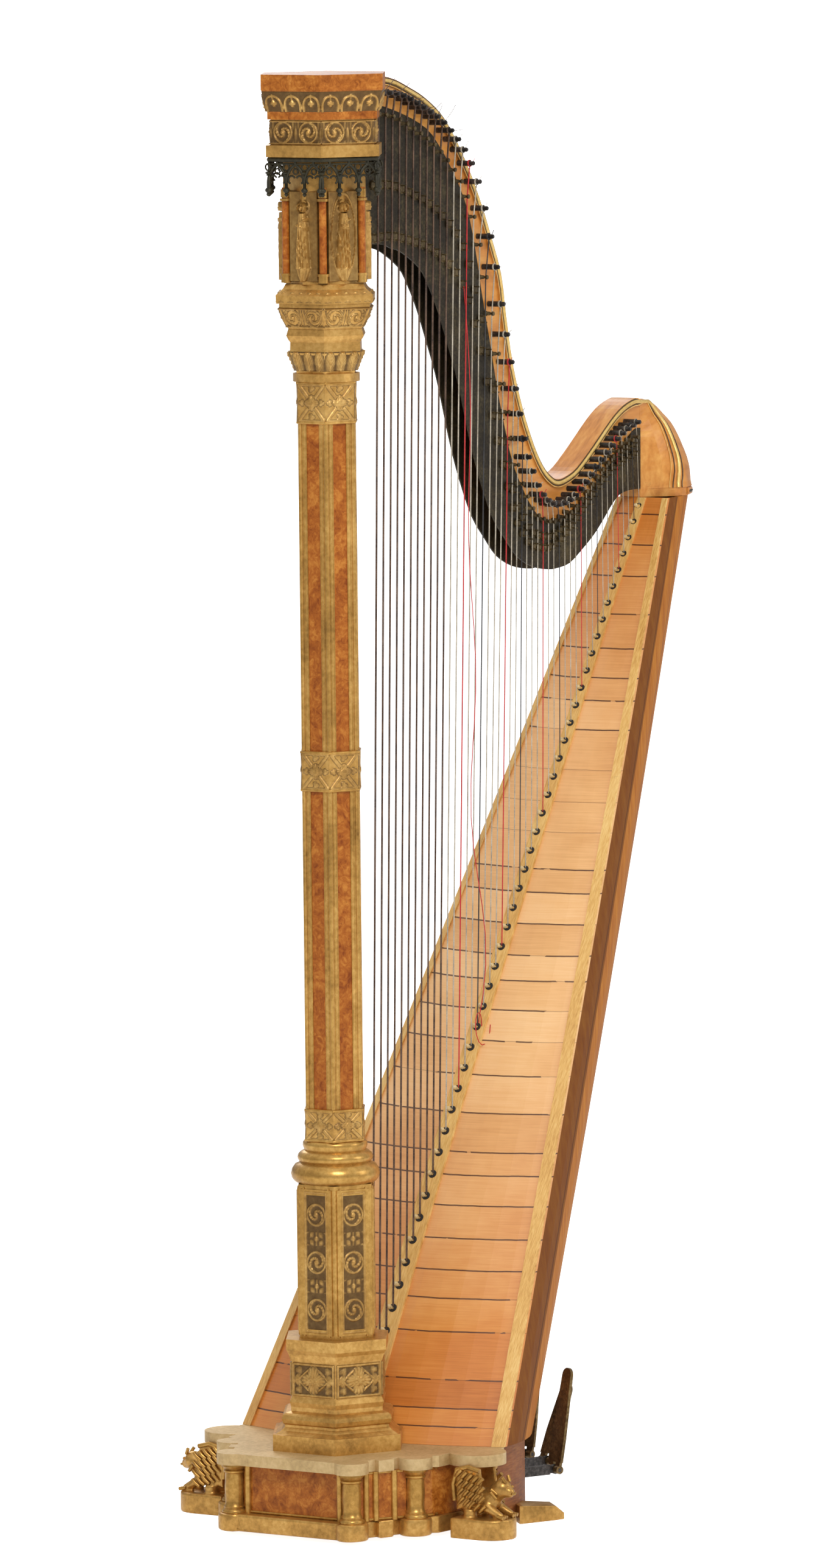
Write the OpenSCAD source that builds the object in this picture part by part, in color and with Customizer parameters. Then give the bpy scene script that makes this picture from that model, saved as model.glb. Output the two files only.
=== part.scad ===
// Concert harp: carved hexagonal column with a Gothic capital, curved neck with tuning pins
// and a two-disc action, tapering soundbox, 46 strings and seven folding pedals.
// The column's axis is the working origin: X runs from the column to the soundbox,
// Z is up from the floor, and the strings lie near the plane Y = 0.

/* [Overall] */
// Height of the top of the capital above the floor
harp_height = 1765; // [1500:5:2150]
// Distance from the column's axis to the soundboard's head
soundbox_head_x = 744; // [620:2:900]
// Distance from the column's axis to the soundboard's foot
soundbox_foot_x = 80; // [78:1:96]
// Depth of the soundboard's head below the top of the capital
head_drop = 560; // [500:5:640]

/* [Base] */
// Height of the underside of the bottom board above the floor
floor_gap = 5; // [3:1:10]
// Thickness of the bottom board
bottom_board_t = 21; // [15:1:26]
// Height of the top of the base
base_height = 100; // [92:1:120]
// Thickness of the top board
top_board_t = 14; // [10:1:18]
// Thickness of the base's walls
wall_t = 9; // [6:1:12]
// Radius of the small columns at the base's corners
colonnette_r = 11.5; // [9:0.5:13]
// Height of the beasts' plinths
plinth_h = 25; // [18:1:28]
// Height of the rear feet
rear_foot_h = 22; // [16:1:26]

/* [Column] */
// Corner radius of the hexagonal shaft
shaft_r = 36.3; // [33:0.1:44]
// Corner radius of the hexagonal pedestal
pedestal_r = 53; // [45:0.5:62]
// Radius of the bore that the pedal rods run in
rod_bore_r = 24; // [24:0.5:27]
// Top of the pedestal above the floor
pedestal_top = 423; // [350:1:440]
// Foot of the capital's disc below the top of the capital
capital_drop = 370; // [360:1:400]
// Radius of the gilt ribs on the shaft's corners
rib_r = 2.6; // [1.5:0.1:3.5]

/* [Neck] */
// Thickness of the neck
neck_t = 30; // [24:1:40]
// Distance of the neck's middle from the plane of the strings' feet
neck_offset = 19; // [17:0.5:26]
// Thickness of the brass action plates
plate_t = 2; // [2:0.5:4]
// Depth of the core that the plates are screwed to
core_depth = 14; // [8:1:18]
// Radius of the tuning pins
tuning_pin_r = 3; // [2.5:0.1:4]
// Length of the tuning pins
tuning_pin_l = 62; // [52:1:76]

/* [Soundbox] */
// Half width of the soundboard at its foot
foot_half_w = 188.9; // [165:0.5:200]
// Half width of the soundboard at its head
head_half_w = 36.2; // [30:0.2:46]
// Depth of the shell at its foot
foot_depth = 198; // [170:1:215]
// Depth of the shell at its head
head_depth = 88; // [75:1:110]
// Wall of the shell
shell_wall = 4.5; // [4:0.5:9]
// Thickness of the soundboard
board_t = 4; // [3:0.5:7]
// Pull of the strings on the middle of the soundboard's foot
crown = 41; // [10:1:50]
// Width of a sound hole at the shell's foot
sound_hole_w = 78; // [50:1:92]

/* [Strings] */
// Number of strings
string_count = 46; // [34:1:47]
// Spacing of the first strings
treble_pitch = 12.6; // [12:0.1:13.2]
// Spacing of the last strings
bass_pitch = 16.4; // [15:0.1:17]
// Distance of the string plane from the near plate at the bridge pins
string_gap = 9; // [8:0.5:11]

/* [Pedals] */
// Height of the pedal levers' middle above the floor
lever_z = 44; // [42:1:50]
// Width of a pedal lever
lever_w = 5; // [4:0.5:5.5]
// Height of a pedal lever
lever_h = 12; // [8:1:14]
// Radius of a lever's pivot and of a treadle's hinge pin
pivot_r = 2.5; // [2:0.1:3]
// Distance of the fulcrum from the rod
fulcrum = 60; // [50:1:70]
// Length of a folding treadle
treadle_l = 126; // [100:1:135]
// Width of a folding treadle
treadle_w = 27; // [24:1:34]
// Radius of a pedal rod
rod_r = 2; // [1.5:0.1:2.5]

/* [Hidden] */
$fn = 48;

// Clearances: a running fit's radial play and the gap between moving pieces
play = 0.05;
gap = 0.5;

head_x = soundbox_head_x;
head_z = harp_height - head_drop + 4;
box_top = harp_height - head_drop;
board_z0 = floor_gap + bottom_board_t;
board_z1 = base_height - top_board_t;
neck_y0 = neck_offset - neck_t / 2;
neck_y1 = neck_offset + neck_t / 2;
plate_y0 = neck_y0 - 1;
plate_y1 = neck_y1 + 1;
string_y = plate_y0 - string_gap;
shoulder_back = 90;

// Corner colonnettes of the base and the round lobes of the boards above and below them
corner = [-104, 84];
cheek = [-33, 130];
lobe_r = 20;
// The front of the top board, the back of the shoulder, and the middle between them,
// which the finished frame is centred on
front_x = corner[0] - lobe_r - 1;
back_x = head_x + shoulder_back + board_t;
mid_x = (front_x + back_x) / 2;

// ---------- curves and lofts ----------
function spline_point(a, b, c, d, t) = 0.5 * (2 * b + (c - a) * t
    + (2 * a - 5 * b + 4 * c - d) * t * t + (3 * b - a - 3 * c + d) * t * t * t);
function smooth(p, n) = [for (i = [0 : len(p) - 2]) for (k = [0 : n - 1])
    spline_point(p[max(i - 1, 0)], p[i], p[i + 1], p[min(i + 2, len(p) - 1)], k / n), p[len(p) - 1]];
function backwards(p) = [for (i = [len(p) - 1 : -1 : 0]) p[i]];
function unit(v) = v / norm(v);
// The curve's own left-hand side, used to set a parallel curve
function side(p, i) = let (d = unit(p[min(i + 1, len(p) - 1)] - p[max(i - 1, 0)])) [-d[1], d[0]];
function parallel(p, d) = [for (i = [0 : len(p) - 1]) p[i] + d * side(p, i)];

// Joins the rings, listed upwards and each anticlockwise from above, into one closed solid.
// A channel's ring is its outer side and then its inner side, so its ends close as strips.
function ends(n, channel) = channel
    ? [for (i = [0 : n / 2 - 2]) each [[i, i + 1, n - 2 - i], [i, n - 2 - i, n - 1 - i]]]
    : [[for (i = [0 : n - 1]) i]];
module loft(rings, channel = false) {
    n = len(rings[0]);
    m = len(rings);
    sides = [for (j = [0 : m - 2]) for (i = [0 : n - 1]) let (k = (i + 1) % n)
        [j * n + i, (j + 1) * n + i, (j + 1) * n + k, j * n + k]];
    halves = [for (q = sides) each [[q[0], q[1], q[2]], [q[0], q[2], q[3]]]];
    caps = ends(n, channel);
    polyhedron([for (r = rings) each r], concat(caps, halves,
        [for (f = caps) [for (i = [len(f) - 1 : -1 : 0]) (m - 1) * n + f[i]]]), convexity = 8);
}

// A flat outline in X and Z, made into a board from y0 to y1
module board(y0, y1) {
    translate([0, y1, 0]) rotate([90, 0, 0]) linear_extrude(y1 - y0) children();
}

module rod_between(a, b, r, fn = 16) {
    d = b - a;
    translate(a) rotate([0, acos(d[2] / norm(d)), atan2(d[1], d[0])])
        cylinder(r = r, h = norm(d), $fn = fn);
}

module both_sides() {
    children();
    mirror([0, 1, 0]) children();
}

// ---------- hexagonal column work: flats face the soundbox ----------
module hex(r) { rotate(30) circle(r, $fn = 6); }
module hex_block(r, z0, z1) { translate([0, 0, z0]) linear_extrude(z1 - z0) hex(r); }
module hex_lathe(profile) { rotate([0, 0, 30]) rotate_extrude($fn = 6) polygon(profile); }
module bored(z0, z1) {
    difference() {
        children();
        translate([0, 0, z0 - 1]) cylinder(r = rod_bore_r, h = z1 - z0 + 2);
    }
}

// ---------- base ----------
// Half outline of a board, from the middle of its front to its rear end
module board_outline(grow, rear) {
    both_sides() {
        polygon([[-118 - grow, 0], [-118 - grow, 78], [-92, 92 + grow], [-38, 118 + grow],
            [-12, 150 + grow], [rear, 160 + grow], [rear, 0]]);
        translate(corner) circle(lobe_r + grow);
        translate(cheek) circle(lobe_r + grow);
        translate([-74, 96]) rotate(25) square([22, 12 + grow]);
    }
}

module base_bottom_board() {
    color("darkgoldenrod") difference() {
        translate([0, 0, floor_gap]) linear_extrude(bottom_board_t) board_outline(0, 74.5);
        both_sides() translate([beast_x - 30, 164, floor_gap - 1]) cube([60, 60, bottom_board_t + 2]);
    }
}

ear_x = 36;
module base_top_board() {
    color("darkgoldenrod") difference() {
        translate([0, 0, board_z1]) linear_extrude(top_board_t) union() {
            board_outline(1, soundbox_foot_x - 2);
            both_sides() {
                translate([ear_x, 176]) circle(35);
                translate([ear_x, 130]) square([soundbox_foot_x - 2 - ear_x, 58]);
            }
        }
        translate([0, 0, board_z1 - 1]) cylinder(r = rod_bore_r, h = top_board_t + 2);
        translate([soundbox_foot_x - 2, -230, board_z1 - 1]) cube([60, 460, top_board_t + 2]);
    }
}

// Walls between the boards: front, slanting cheeks and sides
wall_path = [[-100, -84], [-100, 84], [-38, 126], [-14, 142], [72, 162]];
module base_wall_panels() {
    color("peru") translate([0, 0, board_z0]) linear_extrude(board_z1 - board_z0)
        both_sides() difference() {
            polygon([[-100, 0], wall_path[1], wall_path[2], wall_path[3], wall_path[4], [72, 0]]);
            polygon([[-100 + wall_t, -1], [-100 + wall_t, 84 - wall_t / 2], [-38, 126 - wall_t * 1.2],
                [-14, 142 - wall_t], [73, 162 - wall_t], [73, -1]]);
            translate(corner) circle(colonnette_r);
            translate(cheek) circle(colonnette_r);
        }
}

module base_colonnettes() {
    color("gold") both_sides() for (c = [corner, cheek]) translate([c[0], c[1], board_z0])
        rotate_extrude() polygon([[0, 0], [colonnette_r + 4, 0], [colonnette_r + 4, 5],
            [colonnette_r, 8], [colonnette_r, board_z1 - board_z0 - 9],
            [colonnette_r + 4, board_z1 - board_z0 - 6], [colonnette_r + 4, board_z1 - board_z0],
            [0, board_z1 - board_z0]]);
}

// ---------- beasts: crouching winged figures that look outwards ----------
beast_x = 18;
beast_root = 164;
module beast() {
    translate([beast_x, beast_root, 0]) {
        linear_extrude(plinth_h) {
            translate([-28, 0]) square([56, 45]);
            translate([0, 45]) circle(28);
        }
        // haunches and chest
        hull() {
            translate([0, 14, plinth_h + 17]) sphere(17, $fn = 20);
            translate([0, 42, plinth_h + 22]) sphere(14, $fn = 20);
        }
        // neck and head
        hull() {
            translate([0, 44, plinth_h + 26]) sphere(11, $fn = 20);
            translate([0, 58, plinth_h + 36]) sphere(12, $fn = 20);
        }
        hull() {
            translate([0, 58, plinth_h + 36]) sphere(10, $fn = 20);
            translate([0, 68, plinth_h + 32]) sphere(7, $fn = 20);
        }
        // forelegs and hind legs
        for (s = [-1, 1]) {
            hull() {
                translate([s * 11, 42, plinth_h + 14]) sphere(7, $fn = 20);
                translate([s * 12, 62, plinth_h + 4]) sphere(4.5, $fn = 20);
            }
            translate([s * 16, 22, plinth_h - 1]) cylinder(r = 8, h = 12);
        }
        // folded wings, which carry the board's ears
        for (s = [-1, 1]) translate([s * 17 - 2.5, 0, plinth_h]) rotate([90, 0, 90]) linear_extrude(5)
            polygon([[4, 8], [34, 18], [40, 44], [38, board_z1 - plinth_h], [2, board_z1 - plinth_h]]);
    }
}
module beast_left() { color("goldenrod") mirror([0, 1, 0]) beast(); }
module beast_right() { color("goldenrod") beast(); }

// ---------- rear feet: toes that point outwards at 45 degrees ----------
module rear_feet() {
    color("goldenrod") both_sides() hull() {
        translate([138, 178, 0]) rotate(45) translate([-10, -22, 0]) cube([4, 44, rear_foot_h]);
        translate([182, 202, 0]) rotate(45) translate([0, -15, 0]) cube([3, 30, rear_foot_h * 0.35]);
        translate([170, 196, 0]) rotate(45) translate([0, -17, 0]) cube([4, 34, rear_foot_h * 0.8]);
    }
}

// ---------- pedals ----------
pedal_names = 7;
slot_w = lever_w + 7;
hinge_x = 70;
hinge_a = 285;
hinge_b = 200;
rest_angles = [80, 68, 80, 82, 78, 80, 80];
function fan(i) = (i - 3) * 16;
function rod_y(i) = (i - 3) * 7;
function hinge_at(i) = [hinge_x + hinge_a * cos(fan(i)), hinge_b * sin(fan(i))];
function lever_l(i) = norm(hinge_at(i) - [0, rod_y(i)]);
function lever_turn(i) = atan2(hinge_at(i)[1] - rod_y(i), hinge_at(i)[0]);
module on_lever(i) { translate([0, rod_y(i), lever_z]) rotate([0, 0, lever_turn(i)]) children(); }
// A pin or bore across a lever, its middle at s along it
module across(s, r, w) { translate([s, w / 2, 0]) rotate([90, 0, 0]) cylinder(r = r, h = w, $fn = 32); }

ear_w = 2.6;
module pedal(i) {
    color("dimgray") on_lever(i) {
        translate([-4, -lever_w / 2, -lever_h / 2]) cube([lever_l(i) - 4, lever_w, lever_h]);
        across(lever_l(i), pivot_r + 3.5, lever_w);
        translate([lever_l(i) - 9, -lever_w / 2, -pivot_r - 2]) cube([9, lever_w, 2 * pivot_r + 4]);
        across(fulcrum, pivot_r, lever_w + 2 * gap + 2 * ear_w);
        across(lever_l(i), pivot_r, treadle_w - 3);
    }
}

// Steel bed with the springs' housing across its front, and a fork for each lever's pivot
bed_t = 3.5;
module pivot_rack() {
    color("dimgray") {
        translate([-88, -70, board_z0]) cube([154, 140, bed_t]);
        translate([-88, -70, board_z0]) cube([38, 140, board_z1 - board_z0 - 14]);
    }
    color("dimgray") for (i = [0 : pedal_names - 1]) on_lever(i) difference() {
        for (s = [-1, 1]) translate([fulcrum - 6, s * (lever_w / 2 + gap + ear_w / 2) - ear_w / 2,
            board_z0 - lever_z]) cube([12, ear_w, lever_z - board_z0 + 7]);
        across(fulcrum, pivot_r + play, lever_w + 2 * gap + 2 * ear_w + 2);
    }
}

// Brass treadle, folded up against the soundbox: two knuckles and a rounded plate
module treadle(i) {
    eye = lever_w / 2 + gap;
    knuckle_w = (treadle_w - 3) / 2 - eye;
    l = i == 1 ? treadle_l - 26 : treadle_l;
    color("darkkhaki") on_lever(i) translate([lever_l(i), 0, 0]) rotate([0, 90 - rest_angles[i], 0])
        difference() {
            union() {
                for (s = [-1, 1]) translate([0, s * (eye + knuckle_w / 2), 0]) {
                    across(0, pivot_r + 2.5, knuckle_w);
                    translate([-2, -knuckle_w / 2, 0]) cube([4, knuckle_w, 14]);
                }
                translate([-2, 0, 0]) rotate([90, 0, 90]) linear_extrude(4) {
                    translate([-treadle_w / 2, 9]) square([treadle_w, 30]);
                    polygon([[-treadle_w / 2, 39], [treadle_w / 2, 39], [treadle_w / 2 - 4, l - 10],
                        [-treadle_w / 2 + 4, l - 10]]);
                    translate([0, l - 10]) intersection() {
                        circle(treadle_w / 2 - 4);
                        translate([-treadle_w / 2, 0]) square([treadle_w, treadle_w]);
                    }
                }
            }
            across(0, pivot_r + play, treadle_w + 4);
        }
}

rod_top = harp_height - 160;
module pedal_rod(i) {
    color("silver") translate([0, rod_y(i), lever_z + lever_h / 2 + 0.4])
        cylinder(r = rod_r, h = rod_top - lever_z - lever_h / 2, $fn = 24);
}

// Rear of the base: a bent wall with one upright slot for each lever
box_x = 75;
box_a = 205;
box_b = 180;
box_floor_t = 6;
function half_oval(a, b, n) = [for (k = [0 : n]) let (t = -90 + 180 * k / n) [a * cos(t), b * sin(t)]];
module pedal_box() {
    color("sienna") difference() {
        translate([box_x, 0, floor_gap]) linear_extrude(base_height - floor_gap) difference() {
            polygon(half_oval(box_a, box_b, 48));
            polygon(concat(half_oval(box_a - wall_t, box_b - wall_t, 48), [[-1, box_b - wall_t],
                [-1, -box_b + wall_t]]));
        }
        for (i = [0 : pedal_names - 1]) on_lever(i)
            translate([lever_l(i) - 150, -slot_w / 2, -lever_h / 2 - 6])
                cube([150, slot_w, base_height - lever_z + lever_h / 2]);
    }
    color("sienna") translate([box_x, 0, floor_gap]) linear_extrude(box_floor_t)
        polygon(half_oval(box_a - wall_t, box_b - wall_t, 48));
}

// ---------- column ----------
block_top = base_height + 108;
ledge_z = base_height + 125;
pedestal_z = ledge_z + 10;
// The room that the bellied foot of the soundboard takes behind the column
module behind_board(lift) {
    loft([for (z = [base_height - 1, base_height + 50, base_height + 100, base_height + 150])
        concat(board_row(z, -lift, 110, -110, 16), [[220, -110, z], [220, 110, z]])]);
}
module column_base() {
    z = base_height;
    color("goldenrod") difference() {
        bored(z, pedestal_z) column_base_blocks(z);
        behind_board(rib_t + 0.4);
    }
}
module column_base_blocks(z) {
    union() {
        hex_block(89.4, z, z + 20);
        hex_lathe([[0, z + 20], [86, z + 20], [78, z + 24], [73, z + 28], [73, z + 31], [75.5, z + 33],
            [77, z + 38], [75.5, z + 43], [72, z + 45], [64, z + 47], [64, z + 52], [66, z + 58],
            [63, z + 64], [0, z + 64]]);
        hex_block(62.6, z + 64, block_top);
        hex_lathe([[0, block_top], [63.8, block_top], [67, block_top + 9], [70, block_top + 14],
            [70, ledge_z], [0, ledge_z]]);
        hex_block(70, ledge_z, pedestal_z);
    }
}

module column_pedestal() {
    color("chocolate") bored(pedestal_z, pedestal_top) union() {
        hex_block(pedestal_r - 2, pedestal_z, pedestal_top);
        // raised frames of the six panels
        for (k = [0 : 5]) rotate(60 * k) translate([(pedestal_r - 2) * cos(30) - 1, 0, 0]) rotate([90, 0, 90])
            linear_extrude(2.6) difference() {
                translate([-22, pedestal_z + 5]) square([44, pedestal_top - pedestal_z - 10]);
                translate([-15, pedestal_z + 12]) square([30, pedestal_top - pedestal_z - 24]);
            }
    }
}

shaft_z0 = pedestal_top + 52;
module column_rings() {
    z = pedestal_top;
    color("gold") bored(z, shaft_z0) rotate_extrude() polygon([[0, z], [pedestal_r - 4, z],
        [pedestal_r, z + 6], [pedestal_r, z + 16], [pedestal_r - 5, z + 23], [pedestal_r - 10, z + 24],
        [pedestal_r - 7, z + 28], [pedestal_r - 7, z + 34], [pedestal_r - 12, z + 38],
        [shaft_r + 1, z + 40], [shaft_r + 3, z + 45], [shaft_r + 1, z + 52], [0, z + 52]]);
}

disc_z = harp_height - capital_drop;
module column_shaft() {
    color("chocolate") bored(shaft_z0, disc_z) hex_block(shaft_r, shaft_z0, disc_z);
}

band_mid = (shaft_z0 + disc_z) / 2 - 10;
module column_ribs() {
    // lozenge bands low, midway and below the capital
    color("gold") for (b = [[shaft_z0, 39], [band_mid - 24, 48], [disc_z - 50, 50]])
        translate([0, 0, b[0]]) linear_extrude(b[1]) difference() {
            hex(shaft_r + 2.8);
            hex(shaft_r);
        }
    // ribs down the six corners, between the bands
    color("gold") for (s = [[shaft_z0 + 39, band_mid - 24], [band_mid + 24, disc_z - 50]])
        translate([0, 0, s[0] + gap]) linear_extrude(s[1] - s[0] - 2 * gap) difference() {
            for (k = [0 : 5]) rotate(30 + 60 * k) translate([shaft_r, 0]) circle(rib_r, $fn = 24);
            hex(shaft_r + 0.05);
        }
}

drum_z = harp_height - 252;
gallery_z = harp_height - 138;
frieze_z = harp_height - 99;
cap_z = harp_height - 54;
module capital_bowl() {
    d = disc_z;
    t = drum_z;
    color("goldenrod") bored(d, t) union() {
        translate([0, 0, d]) cylinder(r = shaft_r + 4, h = 10);
        hex_lathe([[0, d + 10], [40, d + 10], [42, d + 18], [49, d + 35], [48.5, d + 48], [51, d + 51],
            [53.8, d + 56], [51, d + 64], [50.6, d + 64], [58, d + 76], [63, d + 88], [63, d + 95],
            [67, d + 95], [67.6, d + 105], [58, d + 112], [54, t], [0, t]]);
    }
}

drum_r = 50.8;
module capital_drum() {
    color("goldenrod") bored(drum_z, frieze_z) hex_block(drum_r, drum_z, frieze_z);
    // a robed figure on a console on every face but the one that meets the neck
    color("gold") for (k = [1 : 5]) rotate(60 * k) translate([drum_r * cos(30), 0, drum_z]) difference() {
        union() {
            translate([0, 0, 12]) cylinder(r1 = 7, r2 = 15, h = 16);
            translate([0, 0, 28]) cylinder(r1 = 12, r2 = 9, h = 58);
            translate([2, 0, 92]) sphere(8);
        }
        translate([-40 + 0.1, -30, 0]) cube([40, 60, 120]);
    }
}

module arch(w, h) {
    intersection() {
        translate([0, h - w * 0.9]) union() {
            intersection() {
                translate([w / 2, 0]) circle(w);
                translate([-w / 2, 0]) circle(w);
            }
        }
        translate([-w / 2, 0]) square([w, h]);
    }
    translate([-w / 2, -1]) square([w, h - w * 0.9 + 1]);
}

gallery_r = 77.5;
module tracery_gallery() {
    color("darkolivegreen") difference() {
        translate([0, 0, gallery_z]) linear_extrude(frieze_z - gallery_z) difference() {
            hex(gallery_r);
            hex(gallery_r - 8);
        }
        for (k = [0 : 5], s = [-1, 0, 1]) rotate(60 * k) translate([50, s * 23, gallery_z])
            rotate([90, 0, 90]) linear_extrude(40) arch(16, 27);
        // clear of the neck
        translate([40, neck_y0 - 1.5, gallery_z - 1]) cube([60, neck_t + 3, frieze_z - gallery_z + 2]);
    }
}

module capital_frieze() {
    z = frieze_z;
    color("goldenrod") bored(z, cap_z) {
        hex_block(78.5, z, z + 14);
        hex_block(71.5, z + 14, cap_z);
    }
}

cap_r = 84.5;
module capital_cap() {
    z = cap_z;
    color("peru") {
        hex_block(76, z, z + 8);
        hex_lathe([[0, z + 8], [76, z + 8], [77.5, z + 18], [81, z + 29], [84, z + 35], [0, z + 35]]);
        hex_block(cap_r, z + 35, harp_height);
    }
}

// ---------- neck ----------
// Outlines run from the column to the shoulder: X, and the drop below the top of the capital
neck_start = cap_r * cos(30) + 0.3;
neck_end = head_x - 2;
top_points = [[74, 4], [150, 10], [198, 24], [232, 37], [268, 57], [297, 83], [330, 123], [358, 165],
    [383, 211], [407, 261], [418, 314], [433, 375], [455, 430], [481, 477], [503, 505], [522, 519],
    [538, 524], [558, 521], [583, 512], [621, 488], [666, 457], [697, 441], [727, 433.5], [742, 436]];
edge_points = [[44, 38], [120, 42], [184, 56], [239, 76], [272, 102], [299, 131], [323, 163],
    [338, 194], [352, 238], [364, 285], [381, 343], [398, 404], [411, 442], [430, 492], [456, 531],
    [478, 555], [500, 570], [531, 573], [560, 569], [585, 561], [622, 541], [670, 512], [703, 487],
    [728, 473], [742, 472]];
lower_points = [[44, 212], [130, 212], [151, 217], [179, 224], [220, 245], [241, 268], [262, 299],
    [282, 337], [303, 379], [319, 421], [336, 468], [357, 514], [385, 561], [413, 589], [442, 614],
    [478, 629], [514, 635], [536, 635], [566, 631], [595, 617], [625, 600], [648, 583], [670, 565],
    [690, 553], [715, 549], [741, 549]];
pin_points = [[110, 27], [152, 31], [200, 47], [248, 68], [298, 105], [330, 148], [350, 198], [369, 255],
    [386, 320], [402, 376], [419, 432], [438, 487], [471, 536], [510, 553], [554, 543], [616, 504],
    [664, 475], [704, 462]];
function stretched(p) = [for (q = p) [q[0] * (head_x / 744), harp_height - q[1]]];
top_line = smooth(stretched(top_points), 3);
edge_line = smooth(stretched(edge_points), 3);
lower_line = smooth(stretched(lower_points), 3);
pin_line = smooth(stretched(pin_points), 4);
core_line = parallel(edge_line, -core_depth);
drum_x = drum_r * cos(30) + 0.3;

// Height of a curve at a given X
function height_at(p, x) = let (k = [for (i = [0 : len(p) - 2]) if (p[i][0] <= x && p[i + 1][0] >= x) i],
    i = len(k) > 0 ? k[0] : (x < p[0][0] ? 0 : len(p) - 2),
    t = (x - p[i][0]) / (p[i + 1][0] - p[i][0])) p[i][1] + t * (p[i + 1][1] - p[i][1]);

module column_notch() {
    translate([-1, gallery_z - 0.3]) square([neck_start + 1, harp_height]);
    translate([-1, 0]) square([drum_x + 1, harp_height]);
}

module neck() {
    color("peru") {
        board(neck_y0, neck_y1) difference() {
            polygon(concat(top_line, backwards(edge_line)));
            column_notch();
            translate([neck_end, 0]) square([200, harp_height]);
            tuning_bores();
        }
        board(plate_y0 + plate_t, plate_y1 - plate_t) difference() {
            polygon(concat(edge_line, backwards(core_line)));
            column_notch();
            translate([neck_end, 0]) square([200, harp_height]);
            tuning_bores();
            axle_bores();
        }
    }
}

bead_w = 9;
bead_t = 2.4;
module neck_beading() {
    color("gold") for (y = [neck_y0 - bead_t, neck_y1]) board(y, y + bead_t) difference() {
        polygon(concat(top_line, backwards(parallel(top_line, -bead_w))));
        column_notch();
        translate([neck_end, 0]) square([200, harp_height]);
        tuning_bores();
    }
    // gilt band round the head of the soundbox, in the shoulder's rebate
    color("gold") loft([for (b = [[0.8, 0.6], [2.2, 2.2], [8.6, 2.2], [10, 0.6]])
        concat(shoulder_arc([b[0], -36.3 - b[1], 36.3 + b[1], 87.3 + b[1]], 62),
            backwards(shoulder_arc([b[0], -36.3, 36.3, 87.3], 62)))], true);
}

module plate_outline() {
    difference() {
        polygon(concat(edge_line, backwards(lower_line)));
        column_notch();
        translate([neck_end, 0]) square([200, harp_height]);
        tuning_bores();
    }
}
// Bores of the two discs that turn
module axle_bores() {
    for (p = [natural_at(c_string), sharp_at(c_string)]) translate(p)
        circle(disc_axle_r + play, $fn = 24);
}
module action_plate_left() {
    color("olive") board(plate_y0, plate_y0 + plate_t) difference() {
        plate_outline();
        axle_bores();
    }
}
module action_plate_right() {
    color("olive") board(plate_y1 - plate_t, plate_y1) plate_outline();
}

// ---------- strings, from the shortest to the longest ----------
last = string_count - 1;
bass_first = string_count - 11;
c_string = 25;
function hole_x(i) = head_x - 12 - treble_pitch * i - (bass_pitch - treble_pitch) / 90 * i * i;
function hole_z(i) = board_height_at(hole_x(i));
bridge_lean = [[0, -14], [0.35, -6], [0.47, 2], [0.6, 24], [0.7, 31], [1, 35]];
pin_lean = [[0, -28], [0.35, -22], [0.45, -13], [0.53, 4], [0.6, 19], [0.67, 27], [0.8, 25], [1, 30]];
function bridge_x(i) = hole_x(i) + lookup(i / last, bridge_lean);
function pin_x(i) = hole_x(i) + lookup(i / last, pin_lean);
function pin_at(i) = [pin_x(i), height_at(pin_line, pin_x(i))];
function bridge_at(i) = [bridge_x(i), height_at(pin_line, bridge_x(i)) - lookup(i / last,
    [[0, 24], [0.4, 22], [0.5, 34], [0.62, 44], [0.72, 34], [1, 26]])];
function string_r(i) = i < bass_first ? 0.35 + 0.6 * i / last : 0.75 + 0.5 * i / last;
function speaking(i) = bridge_at(i) - [hole_x(i), hole_z(i)];
function string_l(i) = norm(speaking(i));
// Discs stop the string a semitone and a whole tone above the open note
natural_share = 0.056;
sharp_share = 0.098;
disc_step = 11;
function disc_drop(i, share, least) = max(share * string_l(i), least);
function on_string(i, d) = bridge_at(i) - unit(speaking(i)) * d;
function natural_at(i) = on_string(i, disc_drop(i, natural_share, 10));
function sharp_at(i) = on_string(i, disc_drop(i, natural_share, 10)
    + disc_drop(i, sharp_share - natural_share, disc_step));
function disc_r(i) = 4.4 + 1.8 * i / last;
disc_axle_r = 1.8;
prong_r = 0.9;
// Angle between the string and the line of the prongs while they hold it
prong_turn = 28;
disc_t = 2.2;

module tuning_bores() {
    for (i = [0 : last]) translate(pin_at(i)) circle(tuning_pin_r, $fn = 24);
}
module tuning_pins() {
    far = neck_y1 + 8;
    color("dimgray") for (i = [0 : last]) translate([pin_at(i)[0], far, pin_at(i)[1]]) rotate([90, 0, 0])
        cylinder(r = tuning_pin_r, h = tuning_pin_l, $fn = 24);
}
module bridge_pins() {
    color("dimgray") for (i = [0 : last]) translate([bridge_at(i)[0], plate_y0 + 2, bridge_at(i)[1]])
        rotate([90, 0, 0]) {
            cylinder(r = 2.2, h = string_gap - 1, $fn = 20);
            translate([0, 0, string_gap - 1]) cylinder(r = 1.6, h = 4, $fn = 20);
            translate([0, 0, string_gap + 3]) cylinder(r = 2.6, h = 2, $fn = 20);
        }
}

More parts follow.
